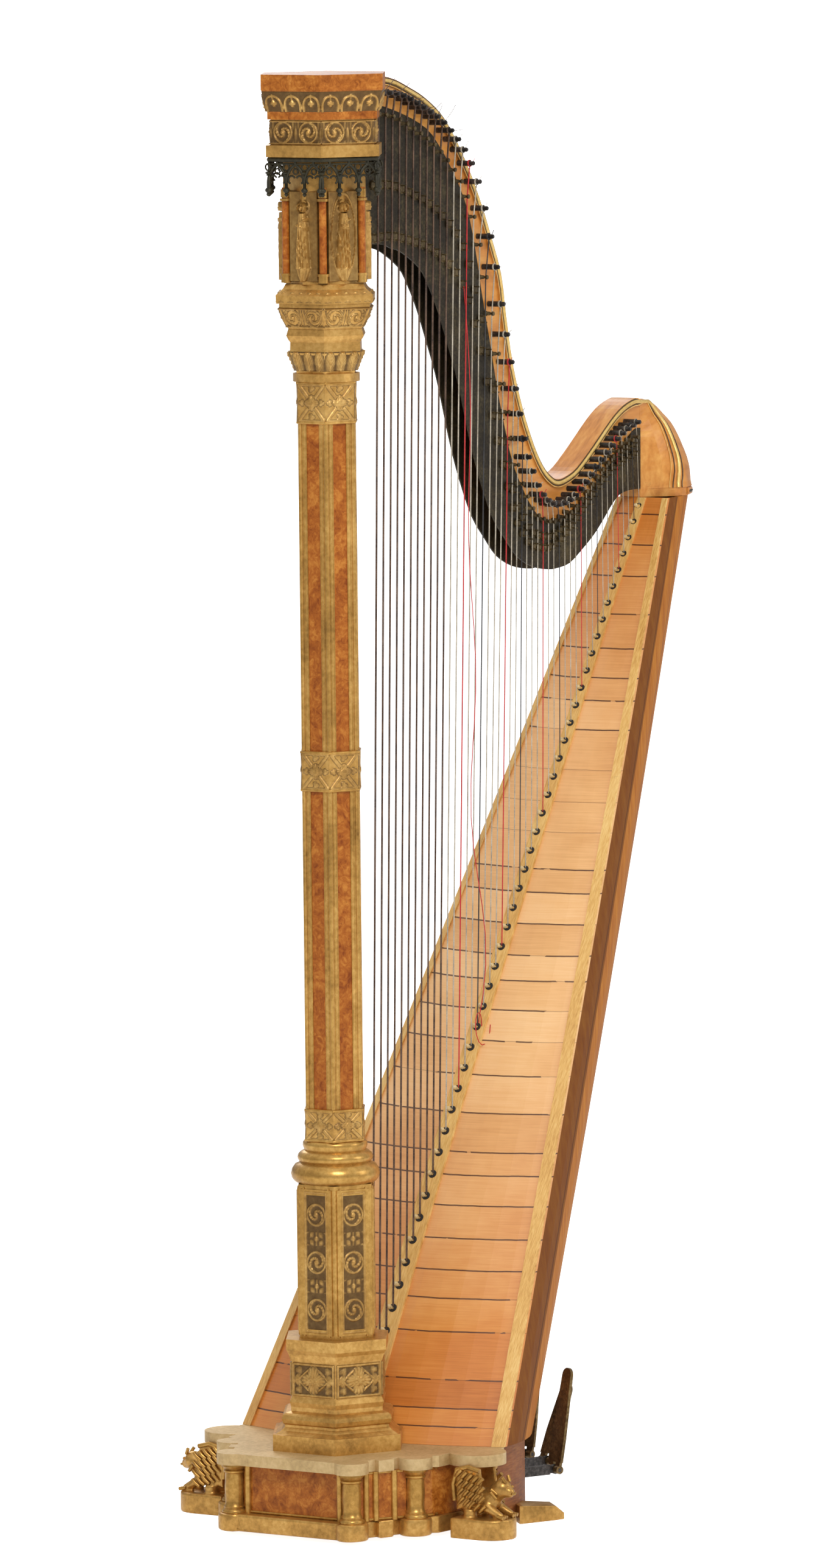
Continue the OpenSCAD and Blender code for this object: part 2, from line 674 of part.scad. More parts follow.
// A disc with two prongs that stand either side of the string
disc_gap = 0.6;
module disc(i, at) {
    string_turn = atan2(speaking(i)[1], speaking(i)[0]);
    translate([at[0], plate_y0 - disc_gap, at[1]]) rotate([90, 0, 0]) {
        cylinder(r = disc_r(i), h = disc_t, $fn = 24);
        rotate(string_turn + prong_turn) for (s = [-1, 1]) translate([s * (disc_r(i) - 1.2), 0, disc_t / 2])
            cylinder(r = prong_r, h = string_gap + 1 - disc_t / 2 - disc_gap, $fn = 16);
    }
    translate([at[0], plate_y0 + plate_t + 3, at[1]]) rotate([90, 0, 0])
        cylinder(r = disc_axle_r, h = plate_t + 3 + disc_gap + disc_t / 2, $fn = 24);
}
module natural_discs() {
    color("goldenrod") for (i = [0 : last]) if (i != c_string)
        disc(i, natural_at(i));
}
module sharp_discs() {
    color("goldenrod") for (i = [0 : last]) if (i != c_string) disc(i, sharp_at(i));
}
module c_natural_disc() {
    color("gold") disc(c_string, natural_at(c_string));
}
module c_sharp_disc() {
    color("gold") disc(c_string, sharp_at(c_string));
}

// Links between the plates, from one axle to the next but one
module action_links() {
    y = neck_offset;
    color("dimgray") {
        for (i = [bass_first - 12 : 3 : last - 2]) if (abs(i - c_string) > 2) {
            translate([0, y + 3, 0]) rod_between([sharp_at(i)[0], 0, sharp_at(i)[1]],
                [sharp_at(i + 2)[0], 0, sharp_at(i + 2)[1]], 2);
            for (k = [i, i + 2]) translate([sharp_at(k)[0], plate_y1 - plate_t, sharp_at(k)[1]])
                rotate([90, 0, 0]) cylinder(r = 2.2, h = plate_y1 - plate_y0 - 2 * plate_t - 6, $fn = 20);
        }
    }
}

// A straight length from the soundboard to the bridge pin, then one to the tuning pin
module string(i) {
    b = [bridge_at(i)[0], string_y, bridge_at(i)[1]];
    p = [pin_at(i)[0], string_y - 4, pin_at(i)[1]];
    h = [hole_x(i), 0, hole_z(i)];
    lift = unit(b - h);
    rod_between(h - 3 * lift, b, string_r(i), 12);
    rod_between(b, p, string_r(i), 12);
}
module bass_strings() { color("saddlebrown") for (i = [bass_first : last]) string(i); }
module gut_strings() { color("whitesmoke") for (i = [0 : bass_first - 1]) string(i); }
module string_pegs() {
    color("tan") for (i = [0 : last]) {
        lift = unit([bridge_at(i)[0] - hole_x(i), 0, bridge_at(i)[1] - hole_z(i)]);
        out = unit([-cos(board_slope), 0, sin(board_slope)]);
        translate([0, string_r(i) + 2.2, 0]) rod_between([hole_x(i), 0, hole_z(i)] - 2 * out,
            [hole_x(i), 0, hole_z(i)] + 6 * out, 2, 16);
    }
}

// ---------- soundbox: every level is a function of the height z ----------
foot_z = base_height;
function rise(z) = (z - foot_z) / (head_z - foot_z);
function edge_x(z) = soundbox_foot_x + (head_x - soundbox_foot_x) * rise(z);
function half_w(z) = foot_half_w + (head_half_w - foot_half_w) * rise(z);
function crown_at(z) = crown * (1 - pow(max(rise(z), 0), 1.7));
// The shell keeps its depth low down and loses it faster near the head
function shell_d(z) = foot_depth - (foot_depth - head_depth) * pow(rise(z), 1.7);
function board_front(z, y) = edge_x(z) - crown_at(z) * (1 - pow(y / half_w(z), 2));
board_slope = atan((head_x - soundbox_foot_x) / (head_z - foot_z));
levels = 16;
function level(k) = foot_z + 0.2 + (box_top - foot_z - 0.2) * k / levels;

function board_row(z, lift, from, to, n) = [for (k = [0 : n])
    let (y = from + (to - from) * k / n) [board_front(z, y) + lift, y, z]];
module soundboard() {
    color("sandybrown") loft([for (k = [0 : levels]) let (z = level(k), w = half_w(z))
        concat(board_row(z, 0, w, -w, 12), [for (j = [0 : 12]) let (y = -w + w * j / 6)
            [board_front(z, y) + board_t, y, z]])]);
}

rib_foot_w = 30;
rib_head_w = 11;
rib_t = 4;
function rib_w(z) = rib_foot_w + (rib_head_w - rib_foot_w) * rise(z);
// The strings' feet stand on the strip's front
function board_height_at(x) = climb(foot_z - 30, box_top + 40, 25, x);
function climb(lo, hi, n, x) = n == 0 ? (lo + hi) / 2 : let (m = (lo + hi) / 2)
    (board_front(m, 0) - rib_t > x ? climb(lo, m, n - 1, x) : climb(m, hi, n - 1, x));
module string_rib() {
    color("burlywood") loft([for (k = [0 : levels]) let (z = level(k), w = rib_w(z) / 2)
        concat(board_row(z, -rib_t, w, -w, 1), board_row(z, 0, -w, w, 4))]);
}

module edge_strips() {
    color("burlywood") both_sides() loft([for (k = [0 : levels]) let (z = level(k), w = half_w(z),
        s = 15 - 8 * rise(z)) concat(board_row(z, -3, w, w - s, 1), board_row(z, 0, w - s, w, 1))]);
}

function shell_arc(z, grow) = let (a = shell_d(z) + grow, w = half_w(z) + grow)
    [for (k = [0 : 24]) let (t = -90 + 180 * k / 24) [edge_x(z) + board_t + a * cos(t), w * sin(t), z]];
hole_count = 5;
hole_levels = [0.13, 0.32, 0.5, 0.66, 0.81];
function sound_hole_z(k) = foot_z + hole_levels[k] * (box_top - foot_z);
function sound_hole_r(k) = sound_hole_w / 2 * half_w(sound_hole_z(k)) / foot_half_w + 4;
module soundbox_shell() {
    color("chocolate") difference() {
        loft([for (k = [0 : levels]) let (z = level(k))
            concat(shell_arc(z, 0), backwards(shell_arc(z, -shell_wall)))], true);
        for (k = [0 : hole_count - 1]) let (z = sound_hole_z(k), r = sound_hole_r(k))
            translate([edge_x(z) + shell_d(z) * 0.6, 0, z]) rotate([90, 0, 90]) linear_extrude(260) {
                translate([0, r * 0.7]) circle(r);
                translate([0, -r * 0.7]) circle(r);
                translate([-r, -r * 0.7]) square([2 * r, 1.4 * r]);
            }
    }
}

frame_levels = [0.225, 0.41, 0.58, 0.735];
frame_h = 14;
frame_t = 3;
module soundbox_ribs() {
    color("silver") for (f = frame_levels) let (z = foot_z + f * (box_top - foot_z)) loft([
        for (s = [z, z + frame_h]) concat(shell_arc(s, -shell_wall - 0.2),
            backwards(shell_arc(s, -shell_wall - 0.2 - frame_t)))], true);
}

// ---------- shoulder: the neck's end, which widens into the soundbox's head ----------
// Each row is a level: height above the soundbox, near side, far side, and rear X from the head
shoulder_rows = [[11, -37.5, 38.5, 89.5], [18, -35, 38, shoulder_back], [32, -33.8, 37.5, 89.5],
    [47, -29.9, 37, 88], [61, -23.7, 36.3, 85.3], [76, -17, 35.5, 80.8], [91, -9, 35, 74.3],
    [103, neck_y0 - 4, neck_y1, 64], [112, neck_y0, neck_y1, 53], [118, neck_y0, neck_y1, 38.6],
    [122, neck_y0, neck_y1, 22], [124, neck_y0, neck_y1, 8]];
shoulder_x = neck_end + 0.3;
// A point of a level's rounded back. Its front corners run out flush with the neck's sides.
function shoulder_point(r, t) = let (x = (r[3] + board_t + head_x - shoulder_x) * pow(cos(t), 0.7),
    y = (r[1] + r[2]) / 2 + sign(t) * (r[2] - r[1]) / 2 * pow(abs(sin(t)), 0.9),
    b = pow(max(1 - x / 50, 0), 1.5) * pow(sin(t), 2),
    flush = t < 0 ? neck_y0 : neck_y1) [shoulder_x + x, y + (flush - y) * b, box_top + r[0]];
function shoulder_arc(r, turn) = [for (k = [0 : 28]) shoulder_point(r, -turn + turn * k / 14)];
module shoulder() {
    color("peru") loft([for (r = concat([[0.3, -35.9, 35.9, 87], [10.6, -35.9, 35.9, 87]],
        smooth(shoulder_rows, 2))) shoulder_arc(r, 90)]);
}

module centred() { translate([-mid_x, 0, 0]) children(); }

centred() base_bottom_board();
centred() base_top_board();
centred() base_wall_panels();
centred() base_colonnettes();
centred() beast_left();
centred() beast_right();
centred() rear_feet();
centred() pedal_box();
centred() pivot_rack();
centred() column_base();
centred() column_pedestal();
centred() column_rings();
centred() column_shaft();
centred() column_ribs();
centred() capital_bowl();
centred() capital_drum();
centred() tracery_gallery();
centred() capital_frieze();
centred() capital_cap();
centred() neck();
centred() neck_beading();
centred() shoulder();
centred() action_plate_left();
centred() action_plate_right();
centred() tuning_pins();
centred() bridge_pins();
centred() natural_discs();
centred() sharp_discs();
centred() action_links();
centred() soundbox_shell();
centred() soundbox_ribs();
centred() soundboard();
centred() string_rib();
centred() edge_strips();
centred() bass_strings();
centred() gut_strings();
centred() string_pegs();
centred() pedal(0);  // pedal_d
centred() pedal(1);  // pedal_c
centred() pedal(2);  // pedal_b
centred() pedal(3);  // pedal_e
centred() pedal(4);  // pedal_f
centred() pedal(5);  // pedal_g
centred() pedal(6);  // pedal_a
centred() treadle(0);  // treadle_d
centred() treadle(1);  // treadle_c
centred() treadle(2);  // treadle_b
centred() treadle(3);  // treadle_e
centred() treadle(4);  // treadle_f
centred() treadle(5);  // treadle_g
centred() treadle(6);  // treadle_a
centred() pedal_rod(0);  // rod_d
centred() pedal_rod(1);  // rod_c
centred() pedal_rod(2);  // rod_b
centred() pedal_rod(3);  // rod_e
centred() pedal_rod(4);  // rod_f
centred() pedal_rod(5);  // rod_g
centred() pedal_rod(6);  // rod_a
centred() c_natural_disc();
centred() c_sharp_disc();
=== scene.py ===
# %% [markdown]
# # A Gothic concert harp
# The harp's hard shapes come from its engineering model, as a fixed frame of named pieces. Here
# they get their finishes, and the carving, the strings and the small fittings are modelled.

# %% Load the frame
import bpy
import bmesh
import math
import random
from math import cos, pi, radians, sin
from mathutils import Matrix, Vector
from mathutils.bvhtree import BVHTree


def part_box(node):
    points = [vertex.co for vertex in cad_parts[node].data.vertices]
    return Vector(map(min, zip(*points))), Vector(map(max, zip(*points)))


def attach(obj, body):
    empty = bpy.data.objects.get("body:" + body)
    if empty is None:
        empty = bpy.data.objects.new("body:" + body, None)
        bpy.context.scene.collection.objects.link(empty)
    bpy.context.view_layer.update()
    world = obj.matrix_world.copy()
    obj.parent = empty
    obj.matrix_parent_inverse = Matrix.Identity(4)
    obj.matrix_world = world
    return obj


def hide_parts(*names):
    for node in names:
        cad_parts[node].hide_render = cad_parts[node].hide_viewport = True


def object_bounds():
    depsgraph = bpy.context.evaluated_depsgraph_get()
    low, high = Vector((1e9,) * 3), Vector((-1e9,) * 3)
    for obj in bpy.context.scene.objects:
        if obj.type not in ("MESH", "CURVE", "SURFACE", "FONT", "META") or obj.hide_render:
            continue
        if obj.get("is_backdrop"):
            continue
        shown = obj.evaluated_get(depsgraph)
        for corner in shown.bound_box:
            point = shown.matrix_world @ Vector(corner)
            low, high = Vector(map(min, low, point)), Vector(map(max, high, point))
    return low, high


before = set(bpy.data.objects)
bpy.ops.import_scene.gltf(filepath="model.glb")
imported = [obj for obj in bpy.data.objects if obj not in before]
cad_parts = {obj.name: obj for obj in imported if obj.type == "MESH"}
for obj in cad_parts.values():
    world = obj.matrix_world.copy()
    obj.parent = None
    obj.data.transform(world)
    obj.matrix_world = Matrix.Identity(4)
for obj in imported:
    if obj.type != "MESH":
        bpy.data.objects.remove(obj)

cad_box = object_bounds()
print("engineering model:", cad_box)

# %% [markdown]
# ## Places and sizes
# Everything is measured from the column's axis, in millimetres, and turned into metres by one
# helper. The axis is read from the frame, so the carving stays on the column if it moves.

# %% Sizes taken from the frame
random.seed(7)


def middle(node):
    low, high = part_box(node)
    return (Vector(low) + Vector(high)) / 2


def top(node):
    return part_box(node)[1][2] * 1000


def foot(node):
    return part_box(node)[0][2] * 1000


AXIS = middle("column_shaft").x


def at(x, y, z):
    """A place in metres, from millimetres measured from the column's axis."""
    return Vector((AXIS + x / 1000, y / 1000, z / 1000))


HEIGHT = top("capital_cap")
NECK_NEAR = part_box("neck")[0][1] * 1000
NECK_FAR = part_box("neck")[1][1] * 1000
PLATE_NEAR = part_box("action_plate_left")[0][1] * 1000
STRING_Y = PLATE_NEAR - 9
SHAFT_R = 36.3
print("column axis at", round(AXIS, 4), "height", round(HEIGHT))

# %% [markdown]
# ## Helpers for modelling
# Each helper does one job that is done by hand in the window: deselect, add a primitive, spin a
# profile round the column, or stamp copies of one carved shape into a single piece.

# %% Modelling helpers
def deselect():
    if bpy.context.mode != "OBJECT":
        bpy.ops.object.mode_set(mode="OBJECT")
    bpy.ops.object.select_all(action="DESELECT")


def new_object(name, verts, edges, faces):
    mesh = bpy.data.meshes.new(name)
    mesh.from_pydata([tuple(v) for v in verts], edges, faces)
    obj = bpy.data.objects.new(name, mesh)
    bpy.context.scene.collection.objects.link(obj)
    deselect()
    obj.select_set(True)
    bpy.context.view_layer.objects.active = obj
    return obj


def edit_all(obj):
    deselect()
    obj.select_set(True)
    bpy.context.view_layer.objects.active = obj
    bpy.ops.object.mode_set(mode="EDIT")
    bpy.ops.mesh.select_all(action="SELECT")


def done_editing(outwards=True):
    if outwards:
        bpy.ops.mesh.normals_make_consistent(inside=False)
    bpy.ops.object.mode_set(mode="OBJECT")


def smooth(obj, angle=35):
    deselect()
    obj.select_set(True)
    bpy.context.view_layer.objects.active = obj
    bpy.ops.object.shade_smooth_by_angle(angle=radians(angle))


def settle(obj):
    """Puts an object's place, turn and size into its mesh."""
    obj.data.transform(obj.matrix_basis)
    obj.matrix_basis = Matrix.Identity(4)


def finished(obj, name, finish, body="frame", angle=35):
    settle(obj)
    obj.name = name
    obj.data.materials.clear()
    obj.data.materials.append(finish)
    smooth(obj, angle)
    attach(obj, body)
    return obj


def primitive(kind, **sizes):
    deselect()
    getattr(bpy.ops.mesh, "primitive_" + kind + "_add")(**sizes)
    return bpy.context.object


def spun(name, profile, middle_at, sides=48, turn=0.0):
    """Spins a profile of (radius, height) pairs, in millimetres, round an upright axis."""
    start = [(r / 1000 * cos(turn), r / 1000 * sin(turn), z / 1000) for r, z in profile]
    obj = new_object(name, start, [(i, i + 1) for i in range(len(start) - 1)], [])
    edit_all(obj)
    bpy.ops.mesh.spin(steps=sides, angle=2 * pi, center=(0, 0, 0), axis=(0, 0, 1))
    bpy.ops.mesh.select_all(action="SELECT")
    bpy.ops.mesh.remove_doubles(threshold=0.00001)
    done_editing()
    obj.data.transform(Matrix.Translation(middle_at))
    return obj


def stamped(name, source, places):
    """One piece made of copies of a shape, each with its own mesh, and removes the shape."""
    settle(source)
    bm = bmesh.new()
    for place in places:
        copy = source.data.copy()
        copy.transform(place)
        bm.from_mesh(copy)
        bpy.data.meshes.remove(copy)
    bpy.data.objects.remove(source)
    obj = new_object(name, [], [], [])
    bm.to_mesh(obj.data)
    bm.free()
    return obj


def tubes(name, lines, radius, sides=3):
    """Round bars along lines of points. Each line is (points, own radius or None)."""
    curve = bpy.data.curves.new(name, "CURVE")
    curve.dimensions = "3D"
    curve.bevel_depth = radius / 1000
    curve.bevel_resolution = sides
    curve.use_fill_caps = True
    for points, size in lines:
        spline = curve.splines.new("POLY")
        spline.points.add(len(points) - 1)
        for p, q in zip(spline.points, points):
            p.co = (*q, 1)
            p.radius = 1 if size is None else size / radius
    obj = bpy.data.objects.new(name, curve)
    bpy.context.scene.collection.objects.link(obj)
    deselect()
    obj.select_set(True)
    bpy.context.view_layer.objects.active = obj
    bpy.ops.object.convert(target="MESH")
    return bpy.context.object


def upright(a, b):
    """A turn and place that set a shape standing on +Z along the way from a to b."""
    return Matrix.Translation(a) @ (b - a).to_track_quat("Z", "Y").to_matrix().to_4x4()


# %% [markdown]
# ## Shader arithmetic
# A wire is one value inside a material. Adding or multiplying wires adds the Math nodes, so a
# finish reads as plain arithmetic.

# %% Shader wires
class Wire:
    def __init__(self, finish, socket):
        self.finish = finish
        self.socket = socket

    def maths(self, operation, *values):
        node = self.finish.tree.nodes.new("ShaderNodeMath")
        node.operation = operation
        for i, value in enumerate(values):
            self.finish.feed(node.inputs[i], value)
        return Wire(self.finish, node.outputs[0])

    def __add__(self, other): return self.maths("ADD", self, other)
    def __radd__(self, other): return self.maths("ADD", other, self)
    def __sub__(self, other): return self.maths("SUBTRACT", self, other)
    def __rsub__(self, other): return self.maths("SUBTRACT", other, self)
    def __mul__(self, other): return self.maths("MULTIPLY", self, other)
    def __rmul__(self, other): return self.maths("MULTIPLY", other, self)
    def __truediv__(self, other): return self.maths("DIVIDE", self, other)
    def __rtruediv__(self, other): return self.maths("DIVIDE", other, self)
    def __pow__(self, other): return self.maths("POWER", self, other)
    def above(self, other): return self.maths("GREATER_THAN", self, other)
    def below(self, other): return self.maths("LESS_THAN", self, other)
    def floor(self): return self.maths("FLOOR", self)
    def absolute(self): return self.maths("ABSOLUTE", self)
    def at_least(self, other): return self.maths("MAXIMUM", self, other)
    def at_most(self, other): return self.maths("MINIMUM", self, other)


class Finish:
    """A material under construction."""

    def __init__(self, name):
        self.material = bpy.data.materials.new(name)
        self.material.use_nodes = True
        self.tree = self.material.node_tree
        self.shader = self.tree.nodes["Principled BSDF"]
        self.place = self.node("ShaderNodeTexCoord").outputs["Object"]

    def feed(self, socket, value):
        if isinstance(value, Wire):
            self.tree.links.new(value.socket, socket)
        elif isinstance(value, bpy.types.NodeSocket):
            self.tree.links.new(value, socket)
        else:
            socket.default_value = value

    def node(self, kind, settings=(), **inputs):
        node = self.tree.nodes.new(kind)
        for key, value in dict(settings).items():
            setattr(node, key, value)
        for key, value in inputs.items():
            self.feed(node.inputs[key.replace("_", " ")], value)
        return node

    def stretched(self, x, y, z):
        return self.node("ShaderNodeMapping", Vector=self.place, Scale=(x, y, z)).outputs[0]

    def noise(self, scale, detail=4.0, roughness=0.55, distortion=0.0, vector=None):
        node = self.node("ShaderNodeTexNoise", Vector=vector or self.place, Scale=scale,
                         Detail=detail, Roughness=roughness, Distortion=distortion)
        return Wire(self, node.outputs[0])

    def cells(self, scale, feature="F1", vector=None, output="Distance"):
        node = self.node("ShaderNodeTexVoronoi", {"feature": feature}, Vector=vector or self.place,
                         Scale=scale)
        return Wire(self, node.outputs[output])

    def axis(self, name):
        node = self.node("ShaderNodeSeparateXYZ", Vector=self.place)
        return Wire(self, node.outputs[name])

    def ramp(self, value, *stops):
        node = self.node("ShaderNodeValToRGB")
        elements = node.color_ramp.elements
        while len(elements) < len(stops):
            elements.new(0.5)
        for element, (position, colour) in zip(elements, stops):
            element.position = position
            element.color = (*colour, 1) if len(colour) == 3 else colour
        self.feed(node.inputs[0], value)
        return Wire(self, node.outputs[0])

    def mix(self, amount, a, b, blend="MIX"):
        node = self.node("ShaderNodeMix", {"data_type": "RGBA", "blend_type": blend})
        self.feed(node.inputs[0], amount)
        self.feed(node.inputs[6], a if not isinstance(a, tuple) else (*a, 1))
        self.feed(node.inputs[7], b if not isinstance(b, tuple) else (*b, 1))
        return Wire(self, node.outputs[2])

    def bump(self, height, strength=0.4, distance=0.0006):
        node = self.node("ShaderNodeBump", Height=height, Strength=strength, Distance=distance)
        return Wire(self, node.outputs[0])

    def surface(self, **sockets):
        for key, value in sockets.items():
            if isinstance(value, tuple) and len(value) == 3:
                value = (*value, 1)
            self.feed(self.shader.inputs[key.replace("_", " ")], value)
        return self.material


# %% [markdown]
# ## Finishes
# The gilding is old: the gold has toned to ochre and holds brown dirt in a broad, uneven way.
# Wear and dirt come from noise at two or three sizes. On carving, shade is painted into the low parts.

# %% Gilding
def gilding(name, dark, mid, light, rough=0.34, metal=0.55, painted_recess_shade=None):
    """Old gold. Given a colour of painted shade, the low parts of a carving, told by its relief value, go
    dark with it.
    """
    f = Finish(name)
    broad = f.noise(16, 5, 0.6)
    fine = f.noise(170, 6, 0.65)
    colour = f.ramp(broad * 0.55 + fine * 0.45, (0.30, dark), (0.5, mid), (0.70, light))
    specks = f.noise(520, 3, 0.6).above(0.70)
    colour = f.mix(specks * 0.4, colour, tuple(c * 0.3 for c in dark))
    if painted_recess_shade:
        # Painted shade: the low parts of the carving are darkened to the shade colour, standing in for the
        # shade that falls into them.
        relief = Wire(f, f.node("ShaderNodeAttribute", {"attribute_name": "relief"}).outputs["Fac"])
        colour = f.mix((relief * 1.5 + 0.12 + 0.3 * (fine - 0.5)).at_least(0.0).at_most(1.0), painted_recess_shade, colour)
    f.surface(Base_Color=colour, Roughness=rough + 0.22 * (1 - fine),
              Normal=f.bump(fine + 0.5 * f.noise(900, 2), 0.16, 0.0004))
    f.shader.inputs["Metallic"].default_value = metal
    return f.material


GOLD = gilding("old gilding", (0.24, 0.12, 0.026), (0.55, 0.30, 0.075), (0.80, 0.50, 0.16), 0.22, 0.7)
GOLD_BRIGHT = gilding("rubbed gilding", (0.22, 0.105, 0.02), (0.47, 0.255, 0.058), (0.74, 0.45, 0.13),
                      0.2, 0.7)
GILT_LINE = gilding("gilt line", (0.50, 0.30, 0.07), (0.76, 0.50, 0.15), (0.9, 0.68, 0.28), 0.22, 0.4)
# The last colour of the carved gilding is the painted shade of its low parts.
CARVED = gilding("carved gilding", (0.20, 0.10, 0.022), (0.46, 0.255, 0.065), (0.72, 0.46, 0.15),
                 0.3, 0.55, (0.085, 0.042, 0.011))
# The top board's gold is a lighter, greyer copy of the gilding: painted light and reflection on its upward
# face.
GOLD_TOP_LIT = gilding("gilding painted lit from above", (0.36, 0.24, 0.10), (0.56, 0.39, 0.18), (0.70, 0.52, 0.27), 0.42, 0.5)
BRONZE = gilding("bronze green", (0.008, 0.008, 0.004), (0.028, 0.024, 0.011), (0.075, 0.06, 0.024),
                 0.42, 0.4)
print("gilding:", GOLD.name, GOLD_BRIGHT.name, GOLD_TOP_LIT.name, BRONZE.name)


# %% Figured maple
def burl(name, deep, mid, light, gloss=0.3):
    """Bird's-eye maple: cloudy figure with small dark eyes, under warm varnish."""
    f = Finish(name)
    cloud = f.noise(30, 6, 0.62, 1.6)
    figure = f.noise(95, 5, 0.6, 2.4)
    eyes = f.cells(150)
    tone = cloud * 0.55 + figure * 0.45
    colour = f.ramp(tone, (0.36, deep), (0.5, mid), (0.63, light))
    spot = (0.16 - eyes).at_least(0) * 5 * figure.above(0.47)
    colour = f.mix(spot.at_most(0.8), colour, tuple(c * 0.4 for c in deep))
    f.surface(Base_Color=colour, Roughness=gloss + 0.12 * figure,
              Normal=f.bump(figure, 0.12, 0.0003))
    f.shader.inputs["Specular IOR Level"].default_value = 0.22
    return f.material


BURL = burl("varnished figured maple", (0.19, 0.038, 0.003), (0.35, 0.098, 0.011), (0.50, 0.19, 0.03))
BURL_DARK = burl("cap and base maple", (0.20, 0.048, 0.004), (0.38, 0.115, 0.014), (0.54, 0.21, 0.036))


# %% Straight-grained wood
def grained(name, deep, mid, light, stretch, gloss=0.32, coat=0.3):
    """Straight grain: noise drawn out along the axis whose stretch is smallest."""
    f = Finish(name)
    along = f.stretched(*stretch)
    grain = f.noise(1.0, 6, 0.6, 0.25, vector=along)
    broad = f.noise(7, 4, 0.5)
    colour = f.ramp(grain * 0.62 + broad * 0.38, (0.35, deep), (0.5, mid), (0.64, light))
    stain = f.noise(26, 5, 0.7).above(0.66)
    colour = f.mix(stain * 0.16, colour, tuple(c * 0.5 for c in deep))
    f.surface(Base_Color=colour, Roughness=gloss + 0.14 * grain, Normal=f.bump(grain, 0.1, 0.0003))
    f.shader.inputs["Coat Weight"].default_value = coat
    f.shader.inputs["Coat Roughness"].default_value = 0.2
    f.shader.inputs["Specular IOR Level"].default_value = 0.3
    return f.material


NECK_WOOD = grained("neck maple", (0.40, 0.135, 0.018), (0.60, 0.235, 0.042), (0.74, 0.36, 0.085),
                    (14, 120, 50))
PALE_WOOD = grained("pale strip wood", (0.50, 0.24, 0.05), (0.70, 0.40, 0.11), (0.82, 0.55, 0.2),
                    (120, 900, 60))
PEG_WOOD = grained("peg wood", (0.35, 0.20, 0.07), (0.62, 0.44, 0.2), (0.8, 0.66, 0.38), (900, 900, 200))
BOX_WOOD = grained("base side wood", (0.14, 0.04, 0.01), (0.25, 0.08, 0.02), (0.36, 0.14, 0.04),
                   (60, 60, 500), 0.5, 0.0)
DARK_LINE = grained("ebonised line", (0.02, 0.01, 0.005), (0.045, 0.022, 0.01), (0.09, 0.045, 0.02),
                    (90, 500, 90))


# %% [markdown]
# ## Soundboard and shell finishes
# The board's grain runs across the harp. Age has opened thin dark cracks along it at uneven
# distances, and each strip between two cracks has its own tone. Both come from one value, the
# height, so they line up from edge to edge.

# %% Soundboard wood
def soundboard_wood():
    f = Finish("varnished spruce")
    z = f.axis("Z")
    wobble = f.noise(3.2, 3) * 0.006 + f.noise(40, 2) * 0.0012
    level = f.node("ShaderNodeTexVoronoi", {"voronoi_dimensions": "1D", "feature": "DISTANCE_TO_EDGE"},
                   W=(z + wobble), Scale=27.0)
    edge = Wire(f, level.outputs["Distance"])
    plank = f.node("ShaderNodeTexVoronoi", {"voronoi_dimensions": "1D"}, W=(z + wobble), Scale=27.0)
    tone = Wire(f, plank.outputs["Color"])
    shade = Wire(f, f.node("ShaderNodeSeparateColor", Color=tone).outputs[0])
    grain = f.noise(1.0, 5, 0.6, vector=f.stretched(60, 9, 900))
    cloud = f.noise(9, 4, 0.55)
    tone = grain * 0.4 + cloud * 0.4 + shade * 0.2
    warm = f.ramp(tone, (0.3, (0.47, 0.135, 0.018)), (0.5, (0.62, 0.205, 0.034)), (0.7, (0.74, 0.31, 0.065)))
    faded = f.ramp(tone, (0.3, (0.70, 0.35, 0.12)), (0.5, (0.84, 0.47, 0.19)), (0.7, (0.92, 0.58, 0.28)))
    # The varnish has faded over the middle of the height, and is deep near the foot and the head
    pale = 1 - ((z - 0.70) / 0.46).absolute() ** 1.6
    colour = f.mix((pale * 1.15 + 0.5 * (cloud - 0.5)).at_least(0.0).at_most(1.0), warm, faded)
    open_here = f.noise(5, 2).above(0.43) * f.noise(30, 2).above(0.36)
    crack = edge.below(0.022) * open_here
    hair = (edge.below(0.010)) * (1 - open_here) * 0.5
    colour = f.mix((crack * 0.92 + hair).at_most(1.0), colour, (0.07, 0.022, 0.006))
    f.surface(Base_Color=colour, Roughness=0.3 + 0.2 * grain,
              Normal=f.bump(grain * 0.2 - crack, 0.35, 0.0005))
    f.shader.inputs["Coat Weight"].default_value = 0.3
    f.shader.inputs["Coat Roughness"].default_value = 0.2
    return f.material


BOARD_WOOD = soundboard_wood()


# %% Staved shell
# The shell's own sizes give each point its angle round the back, so the staves taper with it.
FOOT_W, HEAD_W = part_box("soundbox_shell")[1][1], 0.0367
RUN = (0.744 - 0.080) / (1.209 - 0.100)


